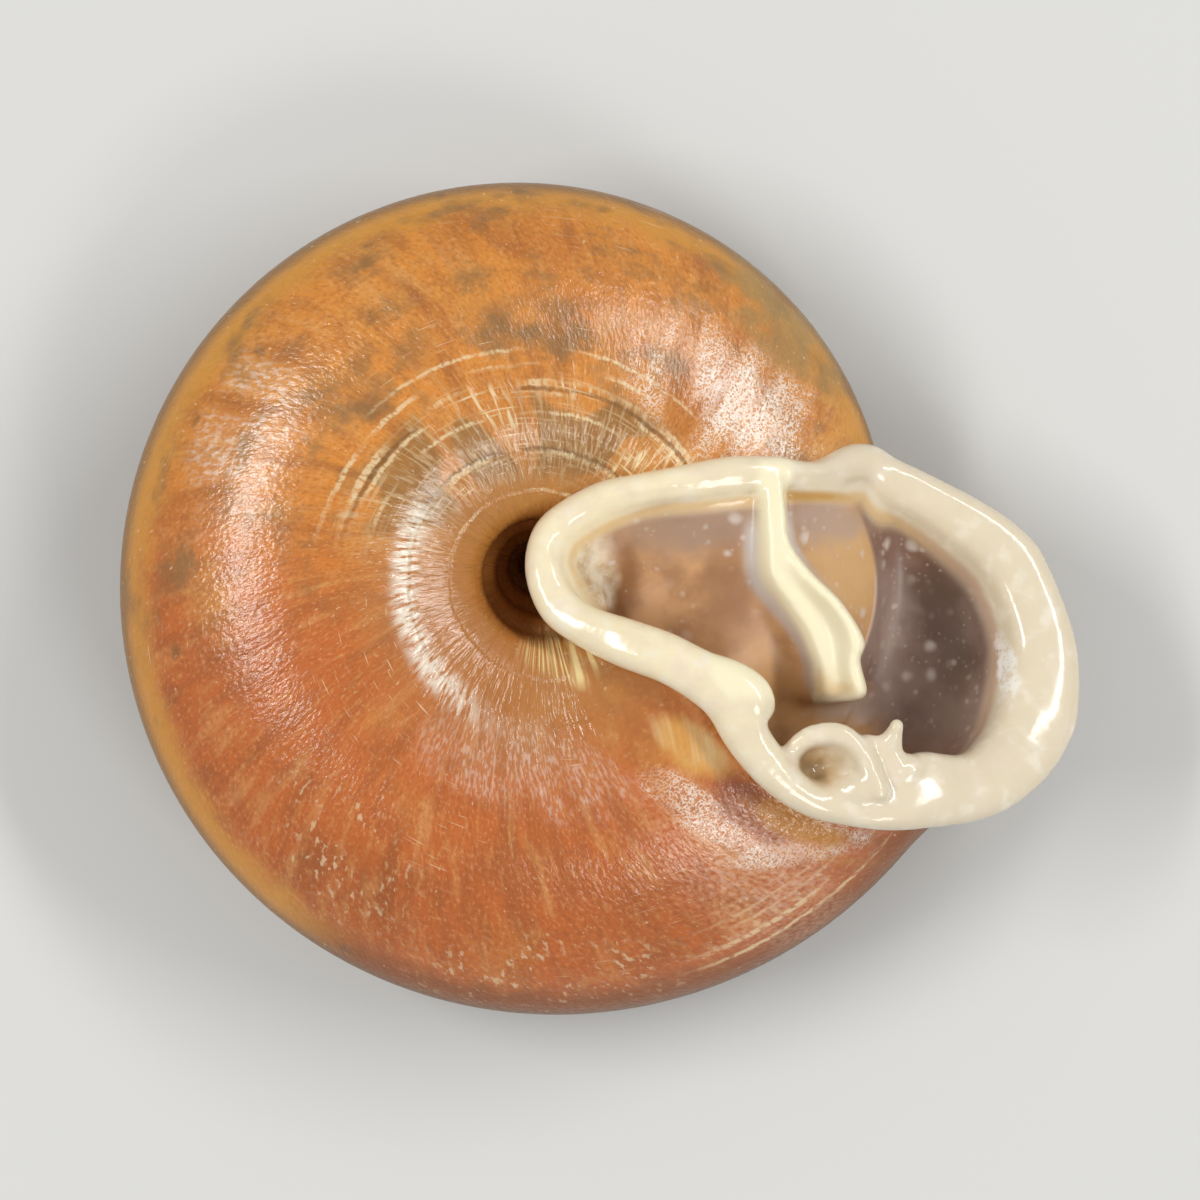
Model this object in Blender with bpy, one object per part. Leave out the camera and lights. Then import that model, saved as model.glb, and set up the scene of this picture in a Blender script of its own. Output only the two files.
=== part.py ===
# Land snail shell: a low right-handed coil with an open umbilicus and a thick toothed lip.
# The coil axis is built upright, base side up, then the shell is leant onto its spire, as it rests.
import math
import bmesh
import bpy
import numpy as np

MM = 0.001

# coil, millimetres
WHORLS = 5.0
END_RADIUS = 24.3
GROWTH = 1.38
SPIRE_DEPTH = 8.0
SPIRE_DOME = 1.45
END_AZIMUTH = -45.0
SPIRE_BULGE = 0.17

# wall, millimetres
WALL = 0.95
PARIETAL_OUT = 0.6
PARIETAL_IN = 0.2
HOLLOW_START = 3.35

# lip, millimetres
LIP_THICKNESS = 2.1
LIP_ROUND = 16
LIP_STEPS = 120

# resting lean of the coil axis, degrees about X then Y
LEAN_X = 4.4
LEAN_Y = 3.3

VOXEL = 0.36
FACES = 9600

# base side of a whorl from its periphery into the umbilicus, as shares of its radius
BASE_SHAPE = (
    (1.0, 0.0), (0.990, 0.050), (0.957, 0.115), (0.88, 0.195), (0.76, 0.272), (0.63, 0.318),
    (0.50, 0.335), (0.39, 0.325), (0.30, 0.298), (0.22, 0.268), (0.165, 0.234), (0.143, 0.2), (0.134, 0.14),
    (0.13, 0.03), (0.126, -0.08),
)

# the lip, clockwise from the knob on the previous whorl: outer x, y, inner x, y, crest height
LIP = (
    (17.6, 6.6, 16.9, 4.7, 0.9), (18.8, 5.9, 18.0, 3.7, 0.6), (20.7, 5.0, 19.9, 2.7, 0.6),
    (23.4, 3.6, 21.9, 1.2, 0.8), (25.4, 2.2, 23.3, -0.0, 1.0), (26.7, 0.5, 23.9, -1.1, 1.2),
    (28.2, -3.7, 24.7, -3.5, 1.8), (28.2, -7.3, 24.3, -6.1, 2.8), (27.5, -9.1, 23.7, -7.7, 3.6),
    (26.2, -10.7, 22.8, -8.7, 4.5), (24.3, -12.0, 21.8, -9.2, 5.5), (22.5, -12.6, 20.6, -9.0, 6.2),
    (20.5, -12.8, 19.2, -8.9, 7.0), (17.8, -12.9, 16.6, -10.9, 7.8), (15.1, -12.55, 14.2, -10.45, 7.9),
    (13.45, -12.1, 13.0, -9.6, 8.2), (11.7, -11.05, 12.1, -8.5, 8.6), (10.3, -9.75, 11.3, -7.2, 8.9),
    (9.2, -8.35, 11.2, -5.8, 9.0), (8.3, -6.85, 10.3, -4.35, 9.0), (7.3, -6.0, 8.4, -3.55, 8.8),
    (5.85, -5.15, 6.55, -2.65, 8.5), (3.75, -4.4, 4.4, -1.95, 7.7), (1.75, -3.45, 2.8, -1.5, 6.7),
    (0.0, -2.15, 1.7, -0.8, 5.9), (-0.85, -0.1, 1.1, 0.5, 5.3), (-0.7, 1.85, 1.25, 1.65, 4.6),
    (0.3, 3.35, 2.2, 2.45, 4.3), (2.75, 4.8, 3.7, 3.1, 4.4), (4.8, 5.3, 5.4, 3.6, 4.7),
    (6.8, 5.7, 7.2, 3.8, 4.8), (9.5, 6.2, 9.8, 4.1, 4.6), (12.0, 6.2, 12.2, 4.4, 4.1),
    (14.1, 5.9, 14.2, 4.5, 3.1), (16.2, 6.6, 15.6, 4.6, 1.7),
)

# round the whorl's section: place along the section, place along the lip, azimuth where growth leaves the coil
SPIRE_COUNT = 12
BASE_COUNT = 30
INNER_COUNT = 22
LEAVE = (
    (0.0, 0.0, -5.0), (6.0, 4.5, -16.0), (12.0, 9.5, -36.0), (16.0, 12.0, -44.0), (21.0, 14.6, -52.0),
    (26.0, 17.5, -62.0), (31.0, 20.5, -72.0), (36.0, 22.8, -76.0), (40.0, 24.3, -60.0), (42.0, 25.2, -30.0),
    (44.0, 26.2, 0.0), (48.0, 28.0, 22.0), (54.0, 30.6, 22.0), (60.0, 33.2, 6.0), (64.0, 35.0, -5.0),
)

# the twisted lamella on the previous whorl: crest x, y, z, half width, foot height
LAMELLA = (
    (12.3, 4.9, 4.2, 0.5, 2.4), (12.3, 3.9, 4.45, 0.55, 2.0), (12.35, 2.6, 4.55, 0.6, 1.7),
    (12.5, 1.2, 4.65, 0.7, 1.4), (12.95, 0.1, 4.8, 0.9, 1.1), (13.7, -0.9, 4.85, 1.15, 0.6),
    (14.55, -2.1, 4.9, 1.3, 0.0), (15.2, -3.3, 4.85, 1.4, -0.6), (15.5, -4.5, 4.7, 1.3, -1.2),
    (15.7, -5.6, 4.5, 1.2, -1.8), (15.75, -6.4, 4.2, 1.1, -2.0),
)

# teeth on the lower lip: centre line x, y, z and radius
KNOB = (
    (8.15, -5.0, 7.0, 0.80), (9.15, -5.4, 7.15, 1.00), (10.05, -5.9, 7.2, 1.15),
    (10.75, -6.5, 7.15, 1.25), (11.05, -6.9, 7.1, 1.15),
)
HOLLOW_TOOTH = (
    (13.0, -9.7, 5.9, 0.60), (13.55, -8.9, 6.15, 0.65), (14.2, -8.5, 6.2, 0.65),
    (14.9, -8.4, 6.2, 0.65), (15.6, -8.5, 6.2, 0.65), (16.2, -8.9, 6.2, 0.62),
    (16.8, -9.7, 6.2, 0.60), (17.3, -10.8, 6.2, 0.60), (17.6, -11.4, 6.2, 0.55),
)
HOLLOW_FLOOR = (
    (13.4, -10.0, 5.1, 0.80), (14.2, -9.8, 4.8, 1.10), (15.2, -9.7, 4.8, 1.15),
    (16.0, -10.0, 4.9, 1.10), (16.6, -11.0, 5.5, 0.90),
)
SHOULDER = (
    (16.9, -9.1, 5.5, 0.60), (17.5, -9.4, 5.4, 0.70), (18.1, -10.0, 5.2, 0.90), (19.1, -10.3, 5.0, 0.90),
)
HOOK = (
    (18.0, -9.6, 5.3, 0.80), (18.1, -9.0, 5.5, 0.70), (18.3, -8.5, 5.75, 0.52), (18.42, -8.0, 6.0, 0.45),
)


def periphery(turn):
    return END_RADIUS * (max(turn, 0.0) / WHORLS) ** GROWTH


def level(radius):
    return -SPIRE_DEPTH * (1.0 - (radius / END_RADIUS) ** SPIRE_DOME)


def turnAt(azimuth):
    return WHORLS + (azimuth - END_AZIMUTH) / 360.0


def normals(line):
    step = np.gradient(line, axis=0)
    side = np.stack([step[:, 1], -step[:, 0]], axis=1)
    return side / np.maximum(np.linalg.norm(side, axis=1)[:, None], 1e-9)


def smoothOpen(points, count):
    points = np.asarray(points, float)
    last = len(points) - 1
    place = np.linspace(0.0, last, count)
    cell = np.minimum(place.astype(int), last - 1)
    part = (place - cell)[:, None]
    before = points[np.maximum(cell - 1, 0)]
    start = points[cell]
    end = points[cell + 1]
    after = points[np.minimum(cell + 2, last)]
    return blend(before, start, end, after, part)


def smoothLoop(points, places):
    points = np.asarray(points, float)
    count = len(points)
    cell = np.floor(places).astype(int)
    part = (places - cell)[:, None]
    around = [points[(cell + shift) % count] for shift in (-1, 0, 1, 2)]
    return blend(*around, part)


def blend(before, start, end, after, part):
    linear = (end - before) * part
    square = (2 * before - 5 * start + 4 * end - after) * part ** 2
    cube = (3 * start - before - 3 * end + after) * part ** 3
    return 0.5 * (2 * start + linear + square + cube)


def baseLine(turn, inset, share):
    radius = periphery(turn)
    shape = smoothOpen(BASE_SHAPE, 61)
    shape = shape[: int(round(60 * share)) + 1]
    line = np.stack([shape[:, 0] * radius, level(radius) + shape[:, 1] * radius], axis=1)
    return line - normals(line) * inset


def resample(line, shares):
    length = np.concatenate([[0.0], np.cumsum(np.linalg.norm(np.diff(line, axis=0), axis=1))])
    places = shares * length[-1]
    return np.stack([np.interp(places, length, line[:, k]) for k in (0, 1)], axis=1)


def spireLine(turn, inset):
    start = np.array([periphery(turn - 1.0), level(periphery(turn - 1.0))])
    end = np.array([periphery(turn), level(periphery(turn))])
    along = np.linspace(0.0, 1.0, 25)[:, None]
    chord = end - start
    down = np.array([chord[1], -chord[0]])
    bulge = SPIRE_BULGE * (4.0 * along * (1.0 - along)) ** 0.75
    line = start + chord * along + down * bulge
    return line - normals(line) * inset


def section(turn, hollow):
    inset = WALL if hollow else 0.0
    even = np.linspace(0.0, 1.0, BASE_COUNT + 1)
    along = np.linspace(0.0, 1.0, SPIRE_COUNT + 1)
    if hollow:
        even = np.where(even < 0.6, even, 0.6 + (even - 0.6) * 0.5)
        even = 0.04 + 0.96 * even
        along = 0.82 * along
    spire = resample(spireLine(turn, inset), along)
    base = resample(baseLine(turn, inset, 1.0), even)
    depth = PARIETAL_IN if hollow else PARIETAL_OUT
    inner = baseLine(turn - 1.0, depth, 0.72 if hollow else 0.95)[::-1]
    inner = resample(inner, np.linspace(0.0, 1.0, INNER_COUNT + 1))
    base[0] = 0.5 * (spire[-1] + base[0]) if hollow else base[0]
    return np.concatenate([spire[:-1], base[:-1], inner[1:]])


def place(turn, line):
    angle = math.radians(END_AZIMUTH + 360.0 * (turn - WHORLS))
    return np.stack([line[0] * math.cos(angle), line[0] * math.sin(angle), line[1]])


def leaving(column, index):
    table = np.array(LEAVE)
    return np.interp(index, table[:, 0], table[:, column])


def lipFrame(places):
    rows = smoothLoop(LIP, places)
    outer = np.column_stack([rows[:, 0], rows[:, 1], rows[:, 4] - 0.7])
    inner = np.column_stack([rows[:, 2], rows[:, 3], rows[:, 4] - 0.7])
    out = outer - inner
    half = 0.5 * np.linalg.norm(out, axis=1)
    out = out / (2.0 * half[:, None])
    ahead = smoothLoop(LIP, places + 0.05)
    behind = smoothLoop(LIP, places - 0.05)
    along = (ahead - behind)[:, (0, 1, 4)]
    up = np.cross(out, along)
    up = up / np.linalg.norm(up, axis=1)[:, None]
    up[up[:, 2] < 0] *= -1.0
    return 0.5 * (outer + inner), out, up, half


def hermite(start, go, end, arrive, part):
    a = 2 * part ** 3 - 3 * part ** 2 + 1
    b = part ** 3 - 2 * part ** 2 + part
    c = -2 * part ** 3 + 3 * part ** 2
    d = part ** 3 - part ** 2
    return a * start + b * go + c * end + d * arrive


def coilRings(hollow, firstTurn, steps):
    index = np.arange(SPIRE_COUNT + BASE_COUNT + INNER_COUNT)
    lastTurns = turnAt(leaving(2, index))
    rings = np.zeros((steps, len(index), 3))
    for k in index:
        turns = np.linspace(firstTurn, lastTurns[k], steps)
        rings[:, k] = [place(t, section(t, hollow)[k]) for t in turns]
    return rings


def mouthRings(hollow, rings, steps):
    count = rings.shape[1]
    centre, out, up, half = lipFrame(leaving(1, np.arange(count)))
    side = -0.45 if hollow else 0.1
    end = centre + out * half[:, None] * side - up * 0.2
    start = rings[-1]
    go = start - rings[-2]
    reach = np.linalg.norm(end - start, axis=1)[:, None]
    go = go / np.linalg.norm(go, axis=1)[:, None] * reach
    arrive = (up * 0.8 + out * 0.4) * reach
    parts = np.linspace(0.0, 1.0, steps + 1)[1:, None, None]
    return hermite(start, go, end, arrive, parts)


def thinned(outer, inner):
    # inside the mouth the wall keeps its thickness on the spire and base sides
    index = np.arange(outer.shape[1])
    around = np.roll(outer, -1, axis=1) - np.roll(outer, 1, axis=1)
    along = np.gradient(outer, axis=0)
    normal = np.cross(around, along)
    normal = normal / np.maximum(np.linalg.norm(normal, axis=2)[:, :, None], 1e-9)
    even = outer + normal * WALL
    marks = (0, 2, 28, 36, 60, 64)
    share = np.interp(index, marks, (0.6, 1.0, 1.0, 0.0, 0.0, 0.6))[None, :, None]
    return even * share + inner * (1.0 - share)


def addRings(mesh, rings, flip):
    verts, faces = mesh
    first = len(verts)
    verts.extend(map(tuple, rings.reshape(-1, 3)))
    count = rings.shape[1]
    for r in range(rings.shape[0] - 1):
        for k in range(count):
            a = first + r * count + k
            b = first + r * count + (k + 1) % count
            quad = (a, b, b + count, a + count)
            faces.append(quad[::-1] if flip else quad)
    return first


def addCap(mesh, ring, flip):
    verts, faces = mesh
    centre = len(verts)
    verts.append(tuple(np.mean([verts[i] for i in ring], axis=0)))
    for a, b in zip(ring, ring[1:] + ring[:1]):
        faces.append((a, b, centre) if flip else (b, a, centre))


def addTube(mesh):
    outerCoil = coilRings(False, 0.12, 150)
    innerCoil = coilRings(True, HOLLOW_START, 70)
    outerMouth = mouthRings(False, outerCoil, 12)
    innerMouth = thinned(outerMouth, mouthRings(True, innerCoil, 12))
    outer = np.concatenate([outerCoil, outerMouth])
    inner = np.concatenate([innerCoil, innerMouth])
    count = outer.shape[1]
    firstOuter = addRings(mesh, outer, False)
    firstInner = addRings(mesh, inner, True)
    addCap(mesh, list(range(firstOuter, firstOuter + count)), False)
    addCap(mesh, list(range(firstInner, firstInner + count)), True)
    lastOuter = firstOuter + (outer.shape[0] - 1) * count
    lastInner = firstInner + (inner.shape[0] - 1) * count
    for k in range(count):
        m = (k + 1) % count
        mesh[1].append((lastOuter + k, lastOuter + m, lastInner + m, lastInner + k))


def addLip(mesh):
    places = np.linspace(0.0, len(LIP), LIP_STEPS, endpoint=False)
    centre, out, up, half = lipFrame(places)
    verts, faces = mesh
    first = len(verts)
    for i in range(LIP_STEPS):
        for j in range(LIP_ROUND):
            angle = 2.0 * math.pi * j / LIP_ROUND
            side = out[i] * half[i] * math.cos(angle)
            rise = up[i] * 0.5 * LIP_THICKNESS * math.sin(angle)
            verts.append(tuple(centre[i] + side + rise))
    for i in range(LIP_STEPS):
        n = (i + 1) % LIP_STEPS
        for j in range(LIP_ROUND):
            m = (j + 1) % LIP_ROUND
            here = first + i * LIP_ROUND
            there = first + n * LIP_ROUND
            faces.append((here + j, here + m, there + m, there + j))


def addRod(mesh, rows, count, round_):
    line = smoothOpen(rows, count)
    along = np.gradient(line[:, :3], axis=0)
    along = along / np.linalg.norm(along, axis=1)[:, None]
    side = np.cross(along, (0.0, 0.0, 1.0))
    side = side / np.linalg.norm(side, axis=1)[:, None]
    rise = np.cross(side, along)
    rings = np.zeros((count, round_, 3))
    for j in range(round_):
        angle = 2.0 * math.pi * j / round_
        rings[:, j] = line[:, :3] + (side * math.cos(angle) + rise * math.sin(angle)) * line[:, 3:4]
    first = addRings(mesh, rings, False)
    addCap(mesh, list(range(first, first + round_)), False)
    end = first + (count - 1) * round_
    addCap(mesh, list(range(end, end + round_)), True)


def addLamella(mesh):
    line = smoothOpen(LAMELLA, 28)
    along = np.gradient(line[:, :3], axis=0)
    along[:, 2] = 0.0
    along = along / np.linalg.norm(along, axis=1)[:, None]
    side = np.cross(along, (0.0, 0.0, 1.0))
    shape = [(1.25, 0.0), (1.0, 0.55), (0.95, 0.85), (0.6, 1.0), (0.0, 1.06)]
    shape = shape + [(-x, z) for x, z in shape[-2::-1]]
    rings = np.zeros((len(line), len(shape), 3))
    for j, (x, z) in enumerate(shape):
        rings[:, j] = line[:, :3] + side * (x * line[:, 3:4])
        rings[:, j, 2] = line[:, 4] + (line[:, 2] - line[:, 4]) * z
    first = addRings(mesh, rings, True)
    count = len(shape)
    addCap(mesh, list(range(first, first + count)), True)
    end = first + (len(line) - 1) * count
    addCap(mesh, list(range(end, end + count)), False)


def lean(points):
    a = math.radians(LEAN_X)
    b = math.radians(LEAN_Y)
    aboutX = np.array([[1, 0, 0], [0, math.cos(a), -math.sin(a)], [0, math.sin(a), math.cos(a)]])
    aboutY = np.array([[math.cos(b), 0, math.sin(b)], [0, 1, 0], [-math.sin(b), 0, math.cos(b)]])
    return np.asarray(points) @ (aboutY @ aboutX).T


def closedObject(name, mesh):
    data = bpy.data.meshes.new(name)
    data.from_pydata([tuple(p) for p in lean(mesh[0]) * MM], [], mesh[1])
    data.update()
    made = bpy.data.objects.new(name, data)
    bpy.context.scene.collection.objects.link(made)
    return made


def fuse(made):
    grown = made.modifiers.new("fuse", "REMESH")
    grown.mode = "VOXEL"
    grown.voxel_size = VOXEL * MM
    eased = made.modifiers.new("ease", "SMOOTH")
    eased.factor = 0.5
    eased.iterations = 2
    reduced = made.modifiers.new("reduce", "DECIMATE")
    reduced.ratio = FACES / triangles(made)
    reduced.use_collapse_triangulate = True


def triangles(made):
    graph = bpy.context.evaluated_depsgraph_get()
    graph.update()
    data = made.evaluated_get(graph).data
    return sum(len(p.vertices) - 2 for p in data.polygons)


def connected(first):
    reached = {first}
    waiting = [first]
    while waiting:
        for edge in waiting.pop().link_edges:
            fresh = [v for v in edge.verts if v not in reached]
            reached.update(fresh)
            waiting.extend(fresh)
    return reached


def keepLargest(data):
    work = bmesh.new()
    work.from_mesh(data)
    left = set(work.verts)
    groups = []
    while left:
        group = connected(next(v for v in work.verts if v in left))
        groups.append(group)
        left -= group
    groups.sort(key=len)
    for group in groups[:-1]:
        bmesh.ops.delete(work, geom=list(group), context="VERTS")
    work.to_mesh(data)
    work.free()


def settle(made):
    graph = bpy.context.evaluated_depsgraph_get()
    graph.update()
    data = bpy.data.meshes.new_from_object(made.evaluated_get(graph))
    keepLargest(data)
    points = np.zeros(len(data.vertices) * 3)
    data.vertices.foreach_get("co", points)
    points = points.reshape(-1, 3)
    low = points.min(axis=0)
    high = points.max(axis=0)
    points -= np.array([0.5 * (low[0] + high[0]), 0.5 * (low[1] + high[1]), low[2]])
    data.vertices.foreach_set("co", points.ravel())
    data.update()
    made.modifiers.clear()
    made.data = data


def shellMaterial():
    made = bpy.data.materials.new("shell")
    made.use_nodes = True
    skin = made.node_tree.nodes["Principled BSDF"]
    skin.inputs["Base Color"].default_value = (0.49, 0.19, 0.07, 1.0)
    skin.inputs["Roughness"].default_value = 0.38
    skin.inputs["Metallic"].default_value = 0.0
    made.diffuse_color = (0.49, 0.19, 0.07, 1.0)
    return made


for old in list(bpy.data.objects):
    bpy.data.objects.remove(old)

grown = ([], [])
addTube(grown)
addLip(grown)
addLamella(grown)
addRod(grown, HOLLOW_TOOTH, 20, 10)
addRod(grown, HOLLOW_FLOOR, 12, 12)
addRod(grown, KNOB, 10, 10)
addRod(grown, SHOULDER, 10, 10)
addRod(grown, HOOK, 12, 10)
shell = closedObject("shell", grown)
fuse(shell)
settle(shell)
shell.data.materials.clear()
shell.data.materials.append(shellMaterial())
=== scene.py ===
import math
from functools import partial

import bmesh
import bpy
import numpy as np
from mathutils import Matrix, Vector
from mathutils.kdtree import KDTree


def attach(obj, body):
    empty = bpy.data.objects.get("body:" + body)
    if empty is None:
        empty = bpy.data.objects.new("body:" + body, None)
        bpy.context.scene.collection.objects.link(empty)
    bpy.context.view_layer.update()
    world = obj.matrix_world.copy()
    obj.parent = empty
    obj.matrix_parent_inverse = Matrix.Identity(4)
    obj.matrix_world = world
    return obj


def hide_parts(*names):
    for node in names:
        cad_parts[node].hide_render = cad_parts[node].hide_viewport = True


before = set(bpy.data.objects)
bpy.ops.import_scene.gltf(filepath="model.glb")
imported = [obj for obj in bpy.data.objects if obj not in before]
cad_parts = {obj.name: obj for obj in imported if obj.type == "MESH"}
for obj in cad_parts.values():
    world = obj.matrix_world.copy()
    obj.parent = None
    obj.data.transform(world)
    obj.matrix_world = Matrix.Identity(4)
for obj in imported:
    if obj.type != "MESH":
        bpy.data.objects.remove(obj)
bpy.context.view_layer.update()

mm = 0.001

# the coil: what sets the growth of every whorl, in millimetres and degrees
coil = {
    "whorls": 5.0,
    "mouthRadius": 24.3,
    "growthPower": 1.38,
    "spireDepth": 8.0,
    "spireDome": 1.45,
    "endAzimuth": -45.0,
    "spireBulge": 0.17,
    "wrinkle": 0.03,
    "seed": 4.0,
    "ringsCoil": 640,
    "ringsMouth": 28,
    "spireColumns": 30,
    "baseColumns": 80,
    "flareLength": 6.0,
    "lastTurnLength": 138.0,
    "leanX": 4.4,
    "leanY": 3.3,
}

# places round a whorl: its spire side, then its base side, then back over the previous whorl
spireEnd = 12.0
baseEnd = 42.0
roundEnd = 64.0

# base side of a whorl, from its periphery into the umbilicus, as shares of its radius
baseShape = (
    (1.0, 0.0), (0.990, 0.050), (0.957, 0.115), (0.88, 0.195), (0.76, 0.272),
    (0.63, 0.318), (0.50, 0.335), (0.39, 0.325), (0.30, 0.298), (0.22, 0.268),
    (0.165, 0.234), (0.143, 0.2), (0.134, 0.14), (0.13, 0.03), (0.126, -0.08),
)

# the lip, in millimetres: its inner wall and its back lie this far under the coil's surface, or under the
# base of the previous whorl, and its line runs clockwise from the knob: outer x, y, inner x, y, crest height
lip = {
    "thickness": 2.1,
    "crestDrop": 0.7,
    "steps": 260,
    "wall": 0.8,
    "overWall": -0.2,
    "back": 0.16,
    "overBack": 0.75,
    "glaze": 0.25,
    "voxel": 0.15,
    "wallRows": 20,
    "rampRows": 24,
    "faceRows": 30,
    "backRowsKept": 3,
    "line": (
        (17.6, 6.6, 16.9, 4.7, 0.9), (18.8, 5.9, 18.0, 3.7, 0.6), (20.7, 5.0, 19.9, 2.7, 0.6),
        (23.4, 3.6, 21.9, 1.2, 0.8), (25.4, 2.2, 23.3, -0.0, 1.0), (26.7, 0.5, 23.9, -1.1, 1.2),
        (28.2, -3.7, 24.7, -3.5, 1.8), (28.2, -7.3, 24.3, -6.1, 2.8), (27.5, -9.1, 23.7, -7.7, 3.6),
        (26.2, -10.7, 22.8, -8.7, 4.5), (24.3, -12.0, 21.8, -9.2, 5.5), (22.5, -12.6, 20.6, -9.0, 6.2),
        (20.5, -12.8, 19.2, -8.9, 7.0), (17.8, -12.9, 16.6, -10.9, 7.8), (15.1, -12.55, 14.2, -10.45, 7.9),
        (13.45, -12.1, 13.0, -9.6, 8.2), (11.7, -11.05, 12.1, -8.5, 8.6), (10.3, -9.75, 11.3, -7.2, 8.9),
        (9.2, -8.35, 11.2, -5.8, 9.0), (8.3, -6.85, 10.3, -4.35, 9.0), (7.3, -6.0, 8.4, -3.55, 8.8),
        (5.85, -5.15, 6.55, -2.65, 8.5), (3.75, -4.4, 4.4, -1.95, 7.7), (1.75, -3.45, 2.8, -1.5, 6.7),
        (0.0, -2.15, 1.7, -0.8, 5.9), (-0.85, -0.1, 1.1, 0.5, 5.3), (-0.7, 1.85, 1.25, 1.65, 4.6),
        (0.3, 3.35, 2.2, 2.45, 4.3), (2.75, 4.8, 3.7, 3.1, 4.4), (4.8, 5.3, 5.4, 3.6, 4.7),
        (6.8, 5.7, 7.2, 3.8, 4.8), (9.5, 6.2, 9.8, 4.1, 4.6), (12.0, 6.2, 12.2, 4.4, 4.1),
        (14.1, 5.9, 14.2, 4.5, 3.1), (16.2, 6.6, 15.6, 4.6, 1.7),
    ),
    # how far the lip's face curls over on its inner side, in degrees, by place round the lip
    "curl": (
        (0.0, 150.0), (3.0, 160.0), (8.0, 172.0), (13.0, 185.0), (18.0, 200.0),
        (23.0, 195.0), (25.0, 165.0), (28.0, 140.0), (34.0, 135.0), (35.0, 150.0),
    ),
}

# the row of the mouth's grid where the lip's face starts
faceRow = lip["wallRows"] + lip["rampRows"]

# a short step of growth, in turns, that gives its direction
smallTurn = 0.01

# place round the whorl, place round the lip, azimuth at which growth turns from the coil to the lip
leaveCoil = np.array((
    (0.0, 0.0, -5.0), (6.0, 4.5, -16.0), (12.0, 9.5, -36.0), (16.0, 12.0, -44.0),
    (21.0, 14.6, -52.0), (26.0, 17.5, -62.0), (31.0, 20.5, -72.0), (36.0, 22.8, -76.0),
    (40.0, 24.3, -60.0), (42.0, 25.2, -30.0), (44.0, 26.2, 0.0), (48.0, 28.0, 22.0),
    (54.0, 30.6, 22.0), (60.0, 33.2, 6.0), (64.0, 35.0, -5.0),
))

# the lamella, station by station: left foot x, y, then left ridge, crease and right ridge, each x, y, z
lamella = (
    ((10.78, 5.3), (11.93, 5.4, 3.5), (12.28, 5.4, 3.6), (12.63, 5.4, 3.5)),
    ((10.68, 4.5), (11.93, 4.7, 4.25), (12.28, 4.7, 4.3), (12.63, 4.7, 4.2)),
    ((10.63, 3.6), (11.88, 3.9, 4.45), (12.28, 3.9, 4.4), (12.68, 3.9, 4.35)),
    ((10.63, 2.6), (11.93, 2.8, 4.5), (12.33, 2.8, 4.5), (12.78, 2.8, 4.4)),
    ((10.68, 1.5), (11.93, 1.6, 4.55), (12.43, 1.6, 4.65), (12.93, 1.6, 4.5)),
    ((10.78, 0.3), (11.98, 0.5, 4.6), (12.68, 0.5, 4.7), (13.53, 0.55, 4.75)),
    ((11.08, -0.7), (12.18, -0.4, 4.65), (12.98, -0.4, 4.55), (14.28, -0.35, 4.95)),
    ((11.53, -1.7), (12.78, -1.3, 4.5), (13.68, -1.15, 4.5), (15.38, -1.4, 5.1)),
    ((12.03, -2.6), (13.43, -2.25, 4.35), (14.38, -1.95, 4.4), (16.03, -2.25, 5.2)),
    ((12.48, -3.5), (13.98, -3.2, 4.25), (14.98, -2.95, 4.45), (16.58, -3.15, 5.2)),
    ((12.83, -4.4), (14.33, -4.2, 4.2), (15.28, -4.0, 4.5), (16.83, -3.9, 5.1)),
    ((13.08, -5.1), (14.53, -4.95, 4.1), (15.38, -4.8, 4.5), (16.58, -4.55, 4.9)),
    ((13.18, -5.9), (14.58, -5.75, 4.0), (15.48, -5.6, 4.4), (16.73, -5.3, 4.8)),
    ((13.18, -6.6), (14.58, -6.4, 3.8), (15.58, -6.4, 4.2), (16.98, -6.25, 4.7)),
    ((13.18, -7.1), (14.58, -6.9, 3.2), (15.68, -6.85, 3.6), (16.78, -6.65, 4.1)),
)

# how finely the lamella is drawn, and where its ridges and its underside come among the points of a ring
lamellaGrid = {
    "stations": 70,
    "ringPoints": 36,
    "leftRidge": 20,
    "rightRidge": 30,
    "under": 35,
}

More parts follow.
